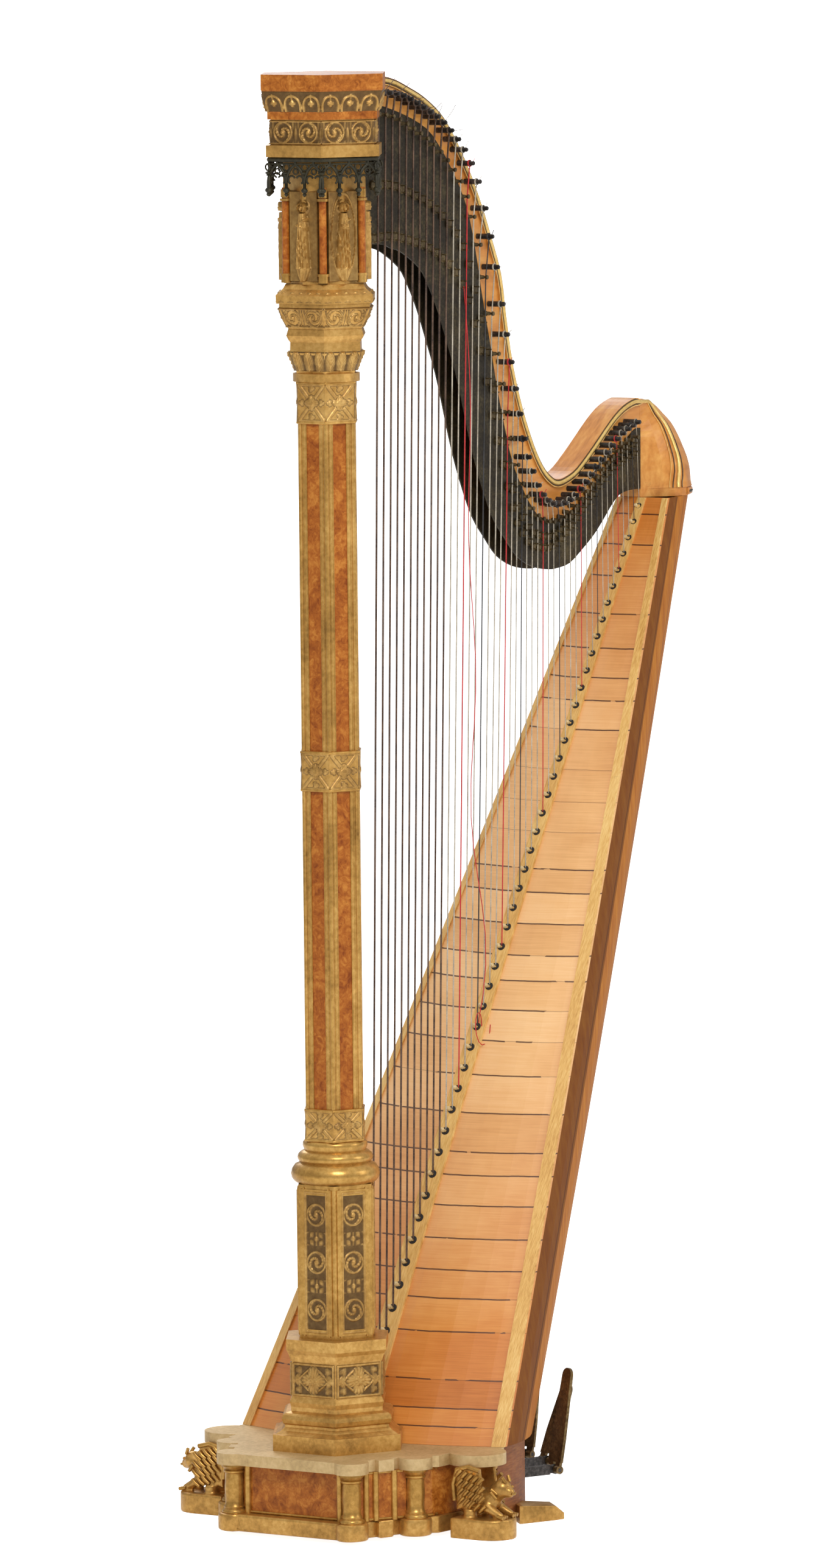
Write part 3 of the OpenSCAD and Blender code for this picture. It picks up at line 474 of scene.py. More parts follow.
def shell_wood():
    f = Finish("staved shell")
    z = f.axis("Z")
    x = f.axis("X") - (AXIS + 0.084 - 0.1 * RUN) - RUN * z
    share = ((z - 0.1) / 1.109).at_least(0.0).at_most(1.0)
    half = FOOT_W - (FOOT_W - HEAD_W) * share
    deep = 0.198 - 0.110 * (share ** 1.7)
    turn = f.node("ShaderNodeMath", {"operation": "ARCTAN2"})
    f.feed(turn.inputs[0], x / deep)
    f.feed(turn.inputs[1], (f.axis("Y") / half).absolute())
    angle = Wire(f, turn.outputs[0]) / (pi / 2)
    stave = (angle * 4.5 + 0.35)
    seam = (stave - stave.floor() - 0.5).absolute().above(0.475)
    grain = f.noise(1.0, 6, 0.62, 0.4, vector=f.stretched(130, 260, 14))
    tone = f.cells(1.0, vector=f.node("ShaderNodeCombineXYZ", X=stave.floor() * 3.1,
                                      Y=(f.axis("Y")).above(0) * 5.3).outputs[0], output="Color")
    shade = Wire(f, f.node("ShaderNodeSeparateColor", Color=tone).outputs[0])
    colour = f.ramp(grain * 0.6 + shade * 0.2 + 0.1, (0.3, (0.20, 0.055, 0.006)),
                    (0.5, (0.37, 0.115, 0.013)), (0.68, (0.50, 0.19, 0.026)))
    outer = angle.below(0.17)
    colour = f.mix(outer * 0.62, colour, (0.07, 0.02, 0.006))
    colour = f.mix(seam * 0.75, colour, (0.08, 0.026, 0.009))
    f.surface(Base_Color=colour, Roughness=0.5 + 0.14 * grain, Normal=f.bump(grain - seam, 0.15, 0.0004))
    f.shader.inputs["Specular IOR Level"].default_value = 0.12
    return f.material


SHELL_WOOD = shell_wood()


# %% Brass, steel, gut and wire
def brass(name, grime, mid, bright, rough, metal=0.85):
    f = Finish(name)
    broad = f.noise(22, 5, 0.65)
    fine = f.noise(260, 5, 0.7)
    colour = f.ramp(broad * 0.5 + fine * 0.5, (0.36, grime), (0.5, mid), (0.66, bright))
    spots = f.cells(210).below(0.16) * fine.above(0.5)
    colour = f.mix(spots * 0.7, colour, tuple(c * 0.4 for c in grime))
    f.surface(Base_Color=colour, Metallic=metal - 0.35 * spots, Roughness=rough + 0.25 * (1 - fine),
              Normal=f.bump(fine, 0.12, 0.0003))
    return f.material


PLATE = brass("tarnished plate", (0.012, 0.009, 0.005), (0.03, 0.022, 0.010), (0.10, 0.075, 0.03), 0.42, 0.5)
DISC = brass("turned brass", (0.03, 0.02, 0.009), (0.09, 0.062, 0.025), (0.26, 0.19, 0.085), 0.34, 0.6)
TREADLE = brass("worn brass", (0.05, 0.03, 0.011), (0.16, 0.10, 0.04), (0.36, 0.25, 0.11), 0.34)
STEEL = brass("blued steel", (0.02, 0.018, 0.018), (0.06, 0.055, 0.052), (0.17, 0.15, 0.14), 0.34)
ALLOY = brass("mill alloy", (0.3, 0.3, 0.3), (0.5, 0.5, 0.49), (0.66, 0.66, 0.64), 0.4)


def strand(name, dark, light, turns=0.0, metal=0.0):
    """A string: plain gut, or wire whose turns show as fine rings along the height."""
    f = Finish(name)
    tone = f.noise(45, 3) * 0.5 + f.noise(1.0, 2, vector=f.stretched(300, 300, 2600)) * 0.5
    colour = f.ramp(tone, (0.38, dark), (0.62, light))
    rings = f.noise(1.0, 1, vector=f.stretched(60, 60, 5200)) if turns else tone
    f.surface(Base_Color=colour, Roughness=0.38 + 0.2 * tone, Normal=f.bump(rings, 0.2 + turns, 0.0003))
    f.shader.inputs["Metallic"].default_value = metal
    return f.material


GUT = strand("gut", (0.26, 0.22, 0.16), (0.56, 0.50, 0.40))
RED_GUT = strand("red gut", (0.38, 0.01, 0.012), (0.62, 0.03, 0.03))
BLACK_GUT = strand("black gut", (0.012, 0.012, 0.014), (0.05, 0.048, 0.05))
WOUND = strand("wound wire", (0.035, 0.02, 0.015), (0.19, 0.115, 0.075), 0.4, 0.5)
# Painted shade: the eyelet rings round the pegs are near-black, for the shade inside each string's hole.
HOLE_SHADE = strand("painted hole shade", (0.004, 0.003, 0.002), (0.014, 0.01, 0.007))
print("finishes:", len(bpy.data.materials))

# %% [markdown]
# ## Finishes of the frame's own pieces
# Every named piece of the frame gets its finish here. Sharp boards get a small rounded edge from a
# Bevel modifier, after a Weld modifier has joined the frame's loose triangles.

# %% Dress the frame
DRESS = {
    GOLD: ["base_bottom_board", "base_colonnettes", "beast_left", "beast_right", "column_base",
           "column_rings", "column_ribs", "capital_bowl", "capital_frieze", "rear_feet"],
    GOLD_TOP_LIT: ["base_top_board"],
    BURL: ["column_shaft"],
    BURL_DARK: ["base_wall_panels", "capital_cap"],
    BRONZE: ["tracery_gallery"],
    NECK_WOOD: ["neck", "shoulder", "neck_beading"],
    SHELL_WOOD: ["soundbox_shell"],
    BOARD_WOOD: ["soundboard"],
    PALE_WOOD: ["string_rib", "edge_strips"],
    PEG_WOOD: ["string_pegs"],
    BOX_WOOD: ["pedal_box"],
    PLATE: ["action_plate_left", "action_plate_right"],
    STEEL: ["tuning_pins", "bridge_pins", "action_links", "pivot_rack"],
    DISC: ["natural_discs", "sharp_discs", "c_natural_disc", "c_sharp_disc"],
    ALLOY: ["soundbox_ribs"],
    GUT: ["gut_strings"],
    WOUND: ["bass_strings"],
    GOLD_BRIGHT: ["capital_drum", "column_pedestal"],
}
NOTES = "dcbefga"
DRESS[STEEL] += ["pedal_" + n for n in NOTES] + ["rod_" + n for n in NOTES]
DRESS[TREADLE] = ["treadle_" + n for n in NOTES]
for finish, names in DRESS.items():
    for name in names:
        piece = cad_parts[name]
        piece.data.materials.clear()
        piece.data.materials.append(finish)
dressed = {name for names in DRESS.values() for name in names}
print("frame pieces without a finish:", sorted(set(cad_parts) - dressed))


def rounded(name, width):
    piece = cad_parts[name]
    weld = piece.modifiers.new("weld", "WELD")
    weld.merge_threshold = 0.00002
    bevel = piece.modifiers.new("edge", "BEVEL")
    bevel.width = width / 1000
    bevel.segments = 3
    bevel.limit_method = "ANGLE"
    bevel.angle_limit = radians(40)
    return piece


rounded("base_bottom_board", 8.5)
rounded("base_top_board", 5)
rounded("rear_feet", 3)
rounded("base_wall_panels", 1)
for name in ("beast_left", "beast_right"):
    # The beast's plain masses run together into one carved body.
    for kind, sizes in (("REMESH", {"mode": "VOXEL", "voxel_size": 0.0016, "use_smooth_shade": True}),
                        ("SMOOTH", {"iterations": 9})):
        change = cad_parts[name].modifiers.new(kind.lower(), kind)
        for key, value in sizes.items():
            setattr(change, key, value)
smooth(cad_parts["shoulder"], 40)
for note in NOTES:
    rounded("treadle_" + note, 1.1)

# %% [markdown]
# ## Camera, light and floor
# A long lens from the column's side, a little above the middle, shows the harp as a tall narrow
# shape. The light is broad and soft, as in a plain studio.

# %% Camera
CAMERA_X, CAMERA_Y, CAMERA_Z = -10832, -6894, 2174
LENS = 245.15
AZIMUTH, DOWN, ROLL = radians(-57.97), radians(5.64), radians(-0.606)
ahead = Vector((-sin(AZIMUTH) * cos(DOWN), cos(AZIMUTH) * cos(DOWN), -sin(DOWN)))
right = Vector((cos(AZIMUTH), sin(AZIMUTH), 0))
up = right.cross(ahead)
right, up = cos(ROLL) * right + sin(ROLL) * up, cos(ROLL) * up - sin(ROLL) * right
camera = bpy.data.objects.new("camera", bpy.data.cameras.new("camera"))
bpy.context.scene.collection.objects.link(camera)
camera.matrix_world = Matrix.Translation(at(CAMERA_X, CAMERA_Y, CAMERA_Z)) @ Matrix(
    (right, up, -ahead)).transposed().to_4x4()
camera.data.sensor_fit = "VERTICAL"
camera.data.sensor_height = 36
camera.data.lens = LENS
camera.data.clip_end = 60
bpy.context.scene.camera = camera


# %% Light
def soft_light(name, place, target, size, power, colour=(1, 1, 1)):
    light = bpy.data.objects.new(name, bpy.data.lights.new(name, "AREA"))
    bpy.context.scene.collection.objects.link(light)
    light.data.shape = "DISK"
    light.data.size = size
    light.data.energy = power
    light.data.color = colour
    light.matrix_world = upright(Vector(place), Vector(place) * 2 - Vector(target))
    return light


bpy.context.scene.view_settings.view_transform = "Standard"
world = bpy.data.worlds.new("studio")
bpy.context.scene.world = world
world.use_nodes = True
world.node_tree.nodes["Background"].inputs[0].default_value = (1, 1, 1, 1)
# The sky behind the harp is brighter than the light it gives, so the picture's ground stays pale.
seen = world.node_tree.nodes.new("ShaderNodeLightPath").outputs["Is Camera Ray"]
glow = world.node_tree.nodes.new("ShaderNodeMapRange")
sky = world.node_tree.nodes.new("ShaderNodeSeparateXYZ")
world.node_tree.links.new(world.node_tree.nodes.new("ShaderNodeTexCoord").outputs["Generated"], sky.inputs[0])
fall = world.node_tree.nodes.new("ShaderNodeMapRange")
for socket, value in (("From Min", -0.3), ("From Max", 1.0), ("To Min", 0.10), ("To Max", 0.95)):
    fall.inputs[socket].default_value = value
world.node_tree.links.new(sky.outputs["Z"], fall.inputs["Value"])
world.node_tree.links.new(fall.outputs[0], glow.inputs["To Min"])
glow.inputs["To Max"].default_value = 3.2
world.node_tree.links.new(seen, glow.inputs["Value"])
world.node_tree.links.new(glow.outputs[0], world.node_tree.nodes["Background"].inputs[1])
soft_light("key", (-3.4, -2.6, 3.6), (0, 0, 0.9), 1.5, 105, (1, 0.985, 0.96))
soft_light("fill", (1.5, -4.5, 2.4), (0, 0, 0.8), 2.6, 36, (1, 1, 1))
soft_light("back", (3.0, 3.2, 3.0), (0, 0, 0.9), 2.4, 40, (0.96, 0.98, 1))

# %% Floor
floor = primitive("grid", x_subdivisions=24, y_subdivisions=24, size=60, location=(0, 0, 0))
pale = Finish("pale floor")
floor_tone = pale.noise(1.5, 3)
pale.surface(Base_Color=pale.ramp(floor_tone, (0.3, (0.86, 0.86, 0.86)), (0.7, (0.9, 0.9, 0.9))),
             Roughness=0.7 + 0.1 * floor_tone)
seen_floor = Wire(pale, pale.node("ShaderNodeLightPath").outputs["Is Camera Ray"])
pale.surface(Emission_Color=pale.ramp(seen_floor, (0.0, (0.2, 0.2, 0.2)), (1.0, (1.0, 1.0, 1.0))))
pale.shader.inputs["Emission Strength"].default_value = 0.9
settle(floor)
floor.name = "floor"
floor.data.materials.append(pale.material)
floor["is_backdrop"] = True

# %% [markdown]
# ## Strings, pins and windings
# The frame holds one plain solid for each pin and string. Its islands, the parts that hang
# together, give every pin's place, so the detailed pins and strings land exactly there. In a set
# of seven strings the C is red and the F is black, and the long bass strings are wire.

# %% Find the pins and strings
def islands(name):
    """Corner points of each separate part of a frame piece, from the treble to the bass."""
    bm = bmesh.new()
    bm.from_mesh(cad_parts[name].data)
    bmesh.ops.remove_doubles(bm, verts=bm.verts, dist=0.00002)
    left = set(bm.verts)
    parts = []
    while left:
        part, edge = [], [left.pop()]
        while edge:
            vert = edge.pop()
            part.append(vert.co.copy())
            for link in vert.link_edges:
                other = link.other_vert(vert)
                if other in left:
                    left.remove(other)
                    edge.append(other)
        parts.append(part)
    bm.free()
    return sorted(parts, key=lambda part: -sum(p.x for p in part) / len(part))


def centre(part):
    return Vector([(min(p[k] for p in part) + max(p[k] for p in part)) / 2 for k in range(3)])


pin_middles = [centre(part) for part in islands("tuning_pins")]
bridge_middles = [centre(part) for part in islands("bridge_pins")]
string_parts = islands("gut_strings") + islands("bass_strings")
foot_points = []
for part in string_parts:
    lowest = min(p.z for p in part)
    near = [p for p in part if p.z < lowest + 0.002]
    foot_points.append(sum(near, Vector()) / len(near))
COUNT = len(pin_middles)
GUT_COUNT = len(islands("gut_strings"))
print("strings:", COUNT, "of which gut:", GUT_COUNT)


def note_of(i):
    """0 is C and 3 is F, counted up from the C that lies third from the bass wires."""
    return (GUT_COUNT - 3 - i) % 7


def string_kind(i):
    if i >= GUT_COUNT:
        return "wire"
    return {0: "red", 3: "black"}.get(note_of(i), "gut")


STRING_FINISH = {"gut": GUT, "red": RED_GUT, "black": BLACK_GUT, "wire": WOUND}


def string_radius(i):
    share = i / (COUNT - 1)
    return 0.75 + 0.5 * share if i >= GUT_COUNT else 0.4 + 0.6 * share


# %% Strings
PIN_TIP_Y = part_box("tuning_pins")[0][1]
for kind, finish in STRING_FINISH.items():
    lines = []
    for i in range(COUNT):
        if string_kind(i) != kind:
            continue
        r = string_radius(i)
        bridge = bridge_middles[i].copy()
        bridge.y = STRING_Y / 1000
        pin = pin_middles[i].copy()
        pin.y = PIN_TIP_Y + 0.009
        tangent = Vector((0.0042, 0, 0.001)) if pin.x < bridge.x else Vector((-0.0042, 0, 0.001))
        lines.append(([foot_points[i], bridge, pin + tangent], r))
        coil = [pin + Vector((0.0042 * cos(t), -0.0011 * t / 6.28 - 0.001, 0.0042 * sin(t)))
                for t in [k * 2 * pi / 10 for k in range(21)]]
        lines.append((coil, min(r * 0.7, 0.5)))
    piece = tubes("strings_" + kind, lines, 1.0, 2)
    finished(piece, "strings_" + kind, finish, angle=60)
    "wound_wire" if kind == "wire" else "gut"
    print(piece.name, len(piece.data.polygons))
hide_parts("bass_strings")
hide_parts("gut_strings")

# %% Loose ends at the pins, and one broken red string
fray = []
for i in range(COUNT):
    pin = pin_middles[i].copy()
    pin.y = PIN_TIP_Y + 0.005
    kind = string_kind(i)
    turn = random.uniform(-0.6, 1.2)
    reach = random.uniform(0.008, 0.02) if kind == "wire" else random.uniform(0.004, 0.009)
    way = Vector((cos(turn), -0.5, sin(turn) + 0.3))
    side = Vector((-sin(turn), 0.2, cos(turn)))
    points = [pin + way * reach * k / 5 + side * 0.25 * reach * (k / 5) ** 2 for k in range(6)]
    fray.append((kind, points))
for kind, finish in STRING_FINISH.items():
    mine = [(points, None) for k, points in fray if k == kind]
    finished(tubes("ends_" + kind, mine, 0.45, 1), "ends_" + kind, finish, angle=60)
c_near = min((i for i in range(COUNT) if string_kind(i) == "red"),
             key=lambda i: abs(foot_points[i].x - AXIS - 0.31))
start = bridge_middles[c_near] + (foot_points[c_near] - bridge_middles[c_near]) * 0.1
end = foot_points[c_near - 3]
drop = []
for k in range(25):
    t = k / 24
    p = start.lerp(end, t)
    p += Vector((-0.03 * sin(pi * t) ** 2 + 0.018 * sin(5 * pi * t) * t, -0.02 * sin(pi * t), 0))
    drop.append(p)
curl = [end + Vector((-0.012 + 0.012 * cos(t), -0.006 - 0.002 * t, 0.02 * sin(t)))
        for t in [k * 0.5 for k in range(14)]]
finished(tubes("broken_string", [(drop, None), (curl, None)], 0.6, 2), "broken_string", RED_GUT, angle=60)

# %% Tuning pins: a round shank that steps down twice at each end
PIN_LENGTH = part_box("tuning_pins")[1][1] - PIN_TIP_Y
shank = primitive("cylinder", vertices=12, radius=0.0035, depth=PIN_LENGTH - 0.012)
edit_all(shank)
bpy.ops.mesh.select_mode(type="FACE")
bpy.ops.mesh.select_all(action="DESELECT")
done_editing(False)
for sign in (1, -1):
    for face in shank.data.polygons:
        face.select = face.normal.z * sign > 0.9
    bpy.ops.object.mode_set(mode="EDIT")
    bpy.ops.mesh.inset(thickness=0.0006)
    bpy.ops.mesh.extrude_region_move(TRANSFORM_OT_translate={"value": (0, 0, sign * 0.005)})
    bpy.ops.mesh.inset(thickness=0.0008)
    bpy.ops.mesh.extrude_region_move(TRANSFORM_OT_translate={"value": (0, 0, sign * 0.001)})
    bpy.ops.object.mode_set(mode="OBJECT")
shank.rotation_euler = (pi / 2, 0, 0)
pins = stamped("tuning_pins_turned", shank, [Matrix.Translation(p) for p in pin_middles])
finished(pins, "tuning_pins_turned", STEEL, angle=40)
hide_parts("tuning_pins")
print("tuning pins:", len(pins.data.polygons), "faces")

# %% Bridge pins: a small spool that guides the string
spool = spun("spool", [(0, 8), (2.6, 8), (2.8, 7), (2.6, 6), (1.6, 5), (1.6, 3), (2.3, 2), (2.5, -2),
                       (3.4, -3), (3.4, -5), (0, -5)], (0, 0, 0), 10)
spool.data.transform(Matrix.Rotation(pi / 2, 4, "X"))
bridge_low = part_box("bridge_pins")[0][1]
spools = stamped("bridge_spools", spool, [Matrix.Translation((p.x, bridge_low + 0.0081, p.z))
                                          for p in bridge_middles])
finished(spools, "bridge_spools", DISC, angle=40)
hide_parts("bridge_pins")

# %% String pegs: a pale round peg at every string's foot, in a ring painted near-black as the shade of the string's hole
RISE = Vector((-cos(math.atan(RUN)), 0, sin(math.atan(RUN))))
peg = spun("peg", [(0, 6.0), (1.6, 5.6), (2.3, 4.2), (2.1, 0), (2.1, -2)], (0, 0, 0), 10)
eyelet = spun("eyelet", [(1.3, 0.5), (3.3, 1.0), (4.3, 0.7), (4.6, 0), (4.4, -1.5)], (0, 0, 0), 14)
seats = []
for i, foot_point in enumerate(foot_points):
    seats.append(upright(foot_point + RISE * 0.0012, foot_point + RISE) @ Matrix.Diagonal(
        (*([1.0 + 0.25 * i / COUNT] * 3), 1)))
eyelets = stamped("eyelets", eyelet, seats)
finished(eyelets, "eyelets", HOLE_SHADE, angle=50)
peg_seats = [Matrix.Translation((0, 0.0026, 0)) @ seat for seat in seats]
pegs = stamped("pegs", peg, peg_seats)
finished(pegs, "pegs", PEG_WOOD, angle=50)
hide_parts("string_pegs")

# %% [markdown]
# ## Carving on six-sided work
# The column, its bands and its capital are hexagons, and each of the six faces carries the same
# carving. One helper makes a face as a fine grid, raises it by a pattern, sets it on the slope
# between two levels of the column, and repeats it six times.

# %% Patterns
def near(value, target, width):
    """1 on a line and 0 beyond its width, with a round top."""
    d = abs(value - target) / width
    return math.sqrt(max(0.0, 1 - d * d))


def rosette(x, y, radius, petals=4):
    """A berry cluster inside a ring of leaves."""
    r = math.hypot(x, y) / radius
    if r > 1.05:
        return 0.0
    t = math.atan2(y, x)
    berries = 0.9 + 0.25 * cos(7 * t) * min(1, r * 4) if r < 0.3 else 0
    leaf_edge = 0.62 + 0.36 * abs(cos(petals * t / 2))
    leaf = 0.0
    if r < leaf_edge:
        leaf = 0.75 * math.sqrt(max(0, 1 - (r / leaf_edge) ** 2)) + 0.15 * cos(petals * 5 * t)
    return max(berries, leaf if r >= 0.26 else 0)


def scroll(x, y, radius, turn=1):
    """A round scroll of leaves that winds in to a boss."""
    r = math.hypot(x, y) / radius
    if r > 1.12:
        return 0.0
    t = math.atan2(y, x) * turn
    ring = 0.55 * near(r, 0.96, 0.1)
    wind = 0.75 * max(0.0, cos(2 * t + 9.5 * r)) ** 0.7 * (1 if 0.22 < r < 0.86 else 0)
    wind *= 0.75 + 0.25 * cos(14 * t)
    boss = math.sqrt(max(0, 1 - (r / 0.24) ** 2)) if r < 0.24 else 0
    return max(ring, wind, boss)


def foliage(x, y, w, h):
    """Leaves that spread from a stem, used to fill gaps."""
    a, b = x / w, y / h
    leaf = max(0.0, cos(3.2 * a * pi) * cos(2.3 * b * pi + abs(a) * 3))
    return 0.65 * leaf ** 0.6 + 0.35 * near(a, 0, 0.07)


def acanthus(x, y, w, h, count):
    """A row of upright leaves whose tips curl forwards."""
    pitch = w / count
    a = ((x / pitch + 0.5) % 1 - 0.5) * 2
    b = (y + h / 2) / h
    width = 0.95 * math.sqrt(max(0.0, 1 - max(0, b - 0.35) ** 2 / 0.44)) if b > 0.35 else 0.8 + 0.15 * b
    if abs(a) > width or b > 1:
        return 0.0
    body = math.sqrt(max(0, 1 - (a / max(width, 0.01)) ** 2))
    lobes = 0.8 + 0.2 * cos(9 * (b * 2.2 - abs(a) * 1.2) * pi / 2)
    return body * lobes * (0.45 + 0.75 * b ** 2) + 0.25 * near(a, 0, 0.12)


# %% One carved face, six times
def hex_carving(name, finish, low, high, pattern, columns=44, rows=30, depth=2.0, margin=0.0,
                sides=range(6), lift=0.0):
    """low and high are (corner radius, height). The pattern gives the relief at (x, y), about 0 to 1."""
    (r0, z0), (r1, z1) = low, high
    slope = math.hypot(z1 - z0, (r1 - r0) * cos(pi / 6))
    face = primitive("grid", x_subdivisions=columns, y_subdivisions=rows, size=2)
    out = Vector((z1 - z0, 0, (r0 - r1) * cos(pi / 6))).normalized()
    relief = []
    for vert in face.data.vertices:
        u, v = vert.co.x, (vert.co.y + 1) / 2
        radius = r0 + (r1 - r0) * v
        half = radius / 2 - margin
        x, y = u * half, (v - 0.5) * slope
        rim = abs(u) > 0.999 or v < 0.001 or v > 0.999
        value = 0.0 if rim else pattern(x, y, 2 * half, slope)
        relief.append(value)
        high_here = -0.6 if rim else lift + depth * value
        place = Vector((radius * cos(pi / 6), x, z0 + (z1 - z0) * v)) + out * high_here
        vert.co = place / 1000
    # The relief is also kept on the points, where the carved gilding reads it to paint shade into the low
    # parts.
    face.data.attributes.new("relief", "FLOAT", "POINT").data.foreach_set("value", relief)
    copies = [Matrix.Translation((AXIS, 0, 0)) @ Matrix.Rotation(radians(60 * k), 4, "Z") for k in sides]
    piece = stamped(name, face, copies)
    finished(piece, name, finish, angle=70)
    return piece


# %% Column: levels read from the frame
SHAFT_FOOT, SHAFT_TOP = foot("column_shaft"), top("column_shaft")
LOW_BAND = (SHAFT_FOOT, SHAFT_FOOT + 39)
MID = (SHAFT_FOOT + SHAFT_TOP) / 2 - 10
MID_BAND = (MID - 24, MID + 24)
TOP_BAND = (SHAFT_TOP - 50, SHAFT_TOP)
PEDESTAL_R = 51.0
PEDESTAL = (foot("column_pedestal"), top("column_pedestal"))


def lozenge(x, y, w, h):
    """Crossed straps with a rosette where they meet, and three small leaves in each gap."""
    a, b = x / (w / 2), y / (h / 2)
    straps = max(near(abs(a) - abs(b), 0, 0.17), 0.85 * near(abs(b), 0.93, 0.09))
    flower = 1.15 * rosette(x, y, min(w, h) * 0.27)
    tip = 0.9 * rosette(x, abs(y) - h * 0.36, w * 0.14, 3) + 0.8 * rosette(abs(x) - w * 0.36, y, w * 0.13, 3)
    return max(straps * (0 if math.hypot(x, y) < min(w, h) * 0.2 else 0.8), flower, tip)


for label, (z0, z1) in (("low", LOW_BAND), ("mid", MID_BAND), ("top", TOP_BAND)):
    hex_carving("lozenge_band_" + label, CARVED, (SHAFT_R + 2.6, z0 + 1), (SHAFT_R + 2.6, z1 - 1), lozenge,
                40, 44, 2.6)


def band_rims():
    """Thin round mouldings above and below each band, round the six sides."""
    lines = []
    for z0, z1 in (LOW_BAND, MID_BAND, TOP_BAND):
        for z in (z0 + 1.2, z1 - 1.2):
            corners = [radians(30 + 60 * k) for k in range(7)]
            ring = [at((SHAFT_R + 3.6) * cos(a), (SHAFT_R + 3.6) * sin(a), z) for a in corners]
            lines.append((ring, None))
    return tubes("band_rims", lines, 1.8)


finished(band_rims(), "band_rims", GOLD_BRIGHT, angle=40)


# %% Corner ribs of the shaft: a bead between two fillets, with a flat on each side
def corner_ribs(name, levels, radius, bead, flat, finish, flat_finish):
    lines = []
    for z0, z1 in levels:
        for k in range(6):
            a = radians(30 + 60 * k)
            corner = Vector((cos(a), sin(a), 0))
            lines.append(([at(*(corner * (radius + 0.6) + Vector((0, 0, z)))) for z in (z0, z1)], bead))
            for s in (-1, 1):
                along = Vector((cos(a + s * radians(120)), sin(a + s * radians(120)), 0))
                normal = Vector((cos(a + s * radians(30)), sin(a + s * radians(30)), 0))
                for step, size in ((bead + 1.9, 1.05), (flat, 0.9)):
                    p = corner * radius + along * step + normal * 0.35
                    lines.append(([at(p.x, p.y, z) for z in (z0, z1)], size))
    finished(tubes(name, lines, 1.0, 3), name, finish, angle=40)
    strips = []
    for z0, z1 in levels:
        for k in range(6):
            a = radians(30 + 60 * k)
            corner = Vector((cos(a), sin(a), 0)) * (radius + 0.1)
            for s in (-1, 1):
                along = Vector((cos(a + s * radians(120)), sin(a + s * radians(120)), 0))
                normal = Vector((cos(a + s * radians(30)), sin(a + s * radians(30)), 0)) * 0.3
                near_edge, far_edge = corner + normal, corner + along * flat + normal
                strips.append([at(near_edge.x, near_edge.y, z0), at(far_edge.x, far_edge.y, z0),
                               at(far_edge.x, far_edge.y, z1), at(near_edge.x, near_edge.y, z1)])
    verts = [p for strip in strips for p in strip]
    faces = [tuple(range(4 * i, 4 * i + 4)) for i in range(len(strips))]
    sheet = new_object(name + "_flats", verts, [], faces)
    edit_all(sheet)
    bpy.ops.mesh.subdivide(number_cuts=2)
    done_editing()
    thick = sheet.modifiers.new("body", "SOLIDIFY")
    thick.thickness = 0.0005
    thick.offset = 0
    bpy.ops.object.modifier_apply(modifier="body")
    finished(sheet, name + "_flats", flat_finish, angle=30)


corner_ribs("shaft_ribs", [(LOW_BAND[1], MID_BAND[0]), (MID_BAND[1], TOP_BAND[0])], SHAFT_R, 2.3, 8.5,
            GOLD_BRIGHT, GOLD)

# %% Pedestal panels: three scrolls between leaves, framed, with gilt fillets beside the corners

def pedestal_panel(x, y, w, h):
    frame_line = max(near(abs(x), w / 2 - 1.6, 1.5), near(abs(y), h / 2 - 1.6, 1.5))
    if frame_line > 0:
        return 0.85 * frame_line
    if abs(x) > w / 2 - 3.2:
        return 0.0
    pitch = h / 3
    level = y / pitch
    row = round(level)
    roundel = scroll(x, y - row * pitch, w * 0.40, 1 if row % 2 else -1)
    between = abs(abs(y) - pitch / 2)
    leaves = 0.8 * foliage(x, between, w * 0.62, 16) if between < 8.5 and roundel == 0 else 0
    return max(roundel, leaves)


hex_carving("pedestal_panels", CARVED, (PEDESTAL_R, PEDESTAL[0] + 7), (PEDESTAL_R, PEDESTAL[1] - 7),
            pedestal_panel, 44, 190, 2.6, 9.0, lift=0.4)
strip_lines = []
for k in range(6):
    a = radians(30 + 60 * k)
    for s in (-1, 1):
        along = Vector((cos(a + s * radians(120)), sin(a + s * radians(120)), 0))
        p = Vector((cos(a), sin(a), 0)) * (PEDESTAL_R + 0.6) + along * 8.2
        strip_lines.append(([at(p.x, p.y, z) for z in (PEDESTAL[0] + 3, PEDESTAL[1] - 3)], None))
finished(tubes("pedestal_fillets", strip_lines, 1.1), "pedestal_fillets", GOLD_BRIGHT, angle=40)


# %% Lower block: lozenges with large rosettes
def block_face(x, y, w, h):
    frame_line = max(near(abs(x), w / 2 - 2, 1.6), near(abs(y), h / 2 - 2, 1.6))
    big = 1.1 * rosette(x, y, h * 0.42)
    straps = 0.6 * near(abs(x) / (w * 0.36) + abs(y) / (h * 0.44), 1, 0.09)
    side = 0.8 * rosette(abs(x) - w * 0.38, y, h * 0.2, 3)
    side += 0.5 * rosette(abs(x) - w * 0.34, abs(y) - h * 0.28, h * 0.14, 3)
    return max(0.7 * frame_line, big, straps if big == 0 else 0, side)


BASE_TOP = top("base_top_board")
hex_carving("block_faces", CARVED, (62.8, BASE_TOP + 65), (62.8, BASE_TOP + 107), block_face,
            60, 44, 3.0, 1.0)

# %% Rings between the pedestal and the shaft, turned round
z = PEDESTAL[1]
rings = spun("turned_rings", [(38, z), (47, z), (50, z + 2), (53, z + 6), (54, z + 11), (52.5, z + 17),
                              (49, z + 22), (44, z + 24), (43, z + 25), (45, z + 27.5), (46, z + 31),
                              (44.5, z + 35), (41, z + 38), (37.5, z + 39.5), (38, z + 41), (39.3, z + 45),
                              (39, z + 49), (37, z + 51.5), (30, z + 51.8)], (AXIS, 0, 0), 72)
finished(rings, "turned_rings", GOLD_BRIGHT, angle=50)
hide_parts("column_rings")

# %% Capital bowl and bell
D = SHAFT_TOP


def leaf_row(count):
    return lambda x, y, w, h: acanthus(x, y, w, h, count)


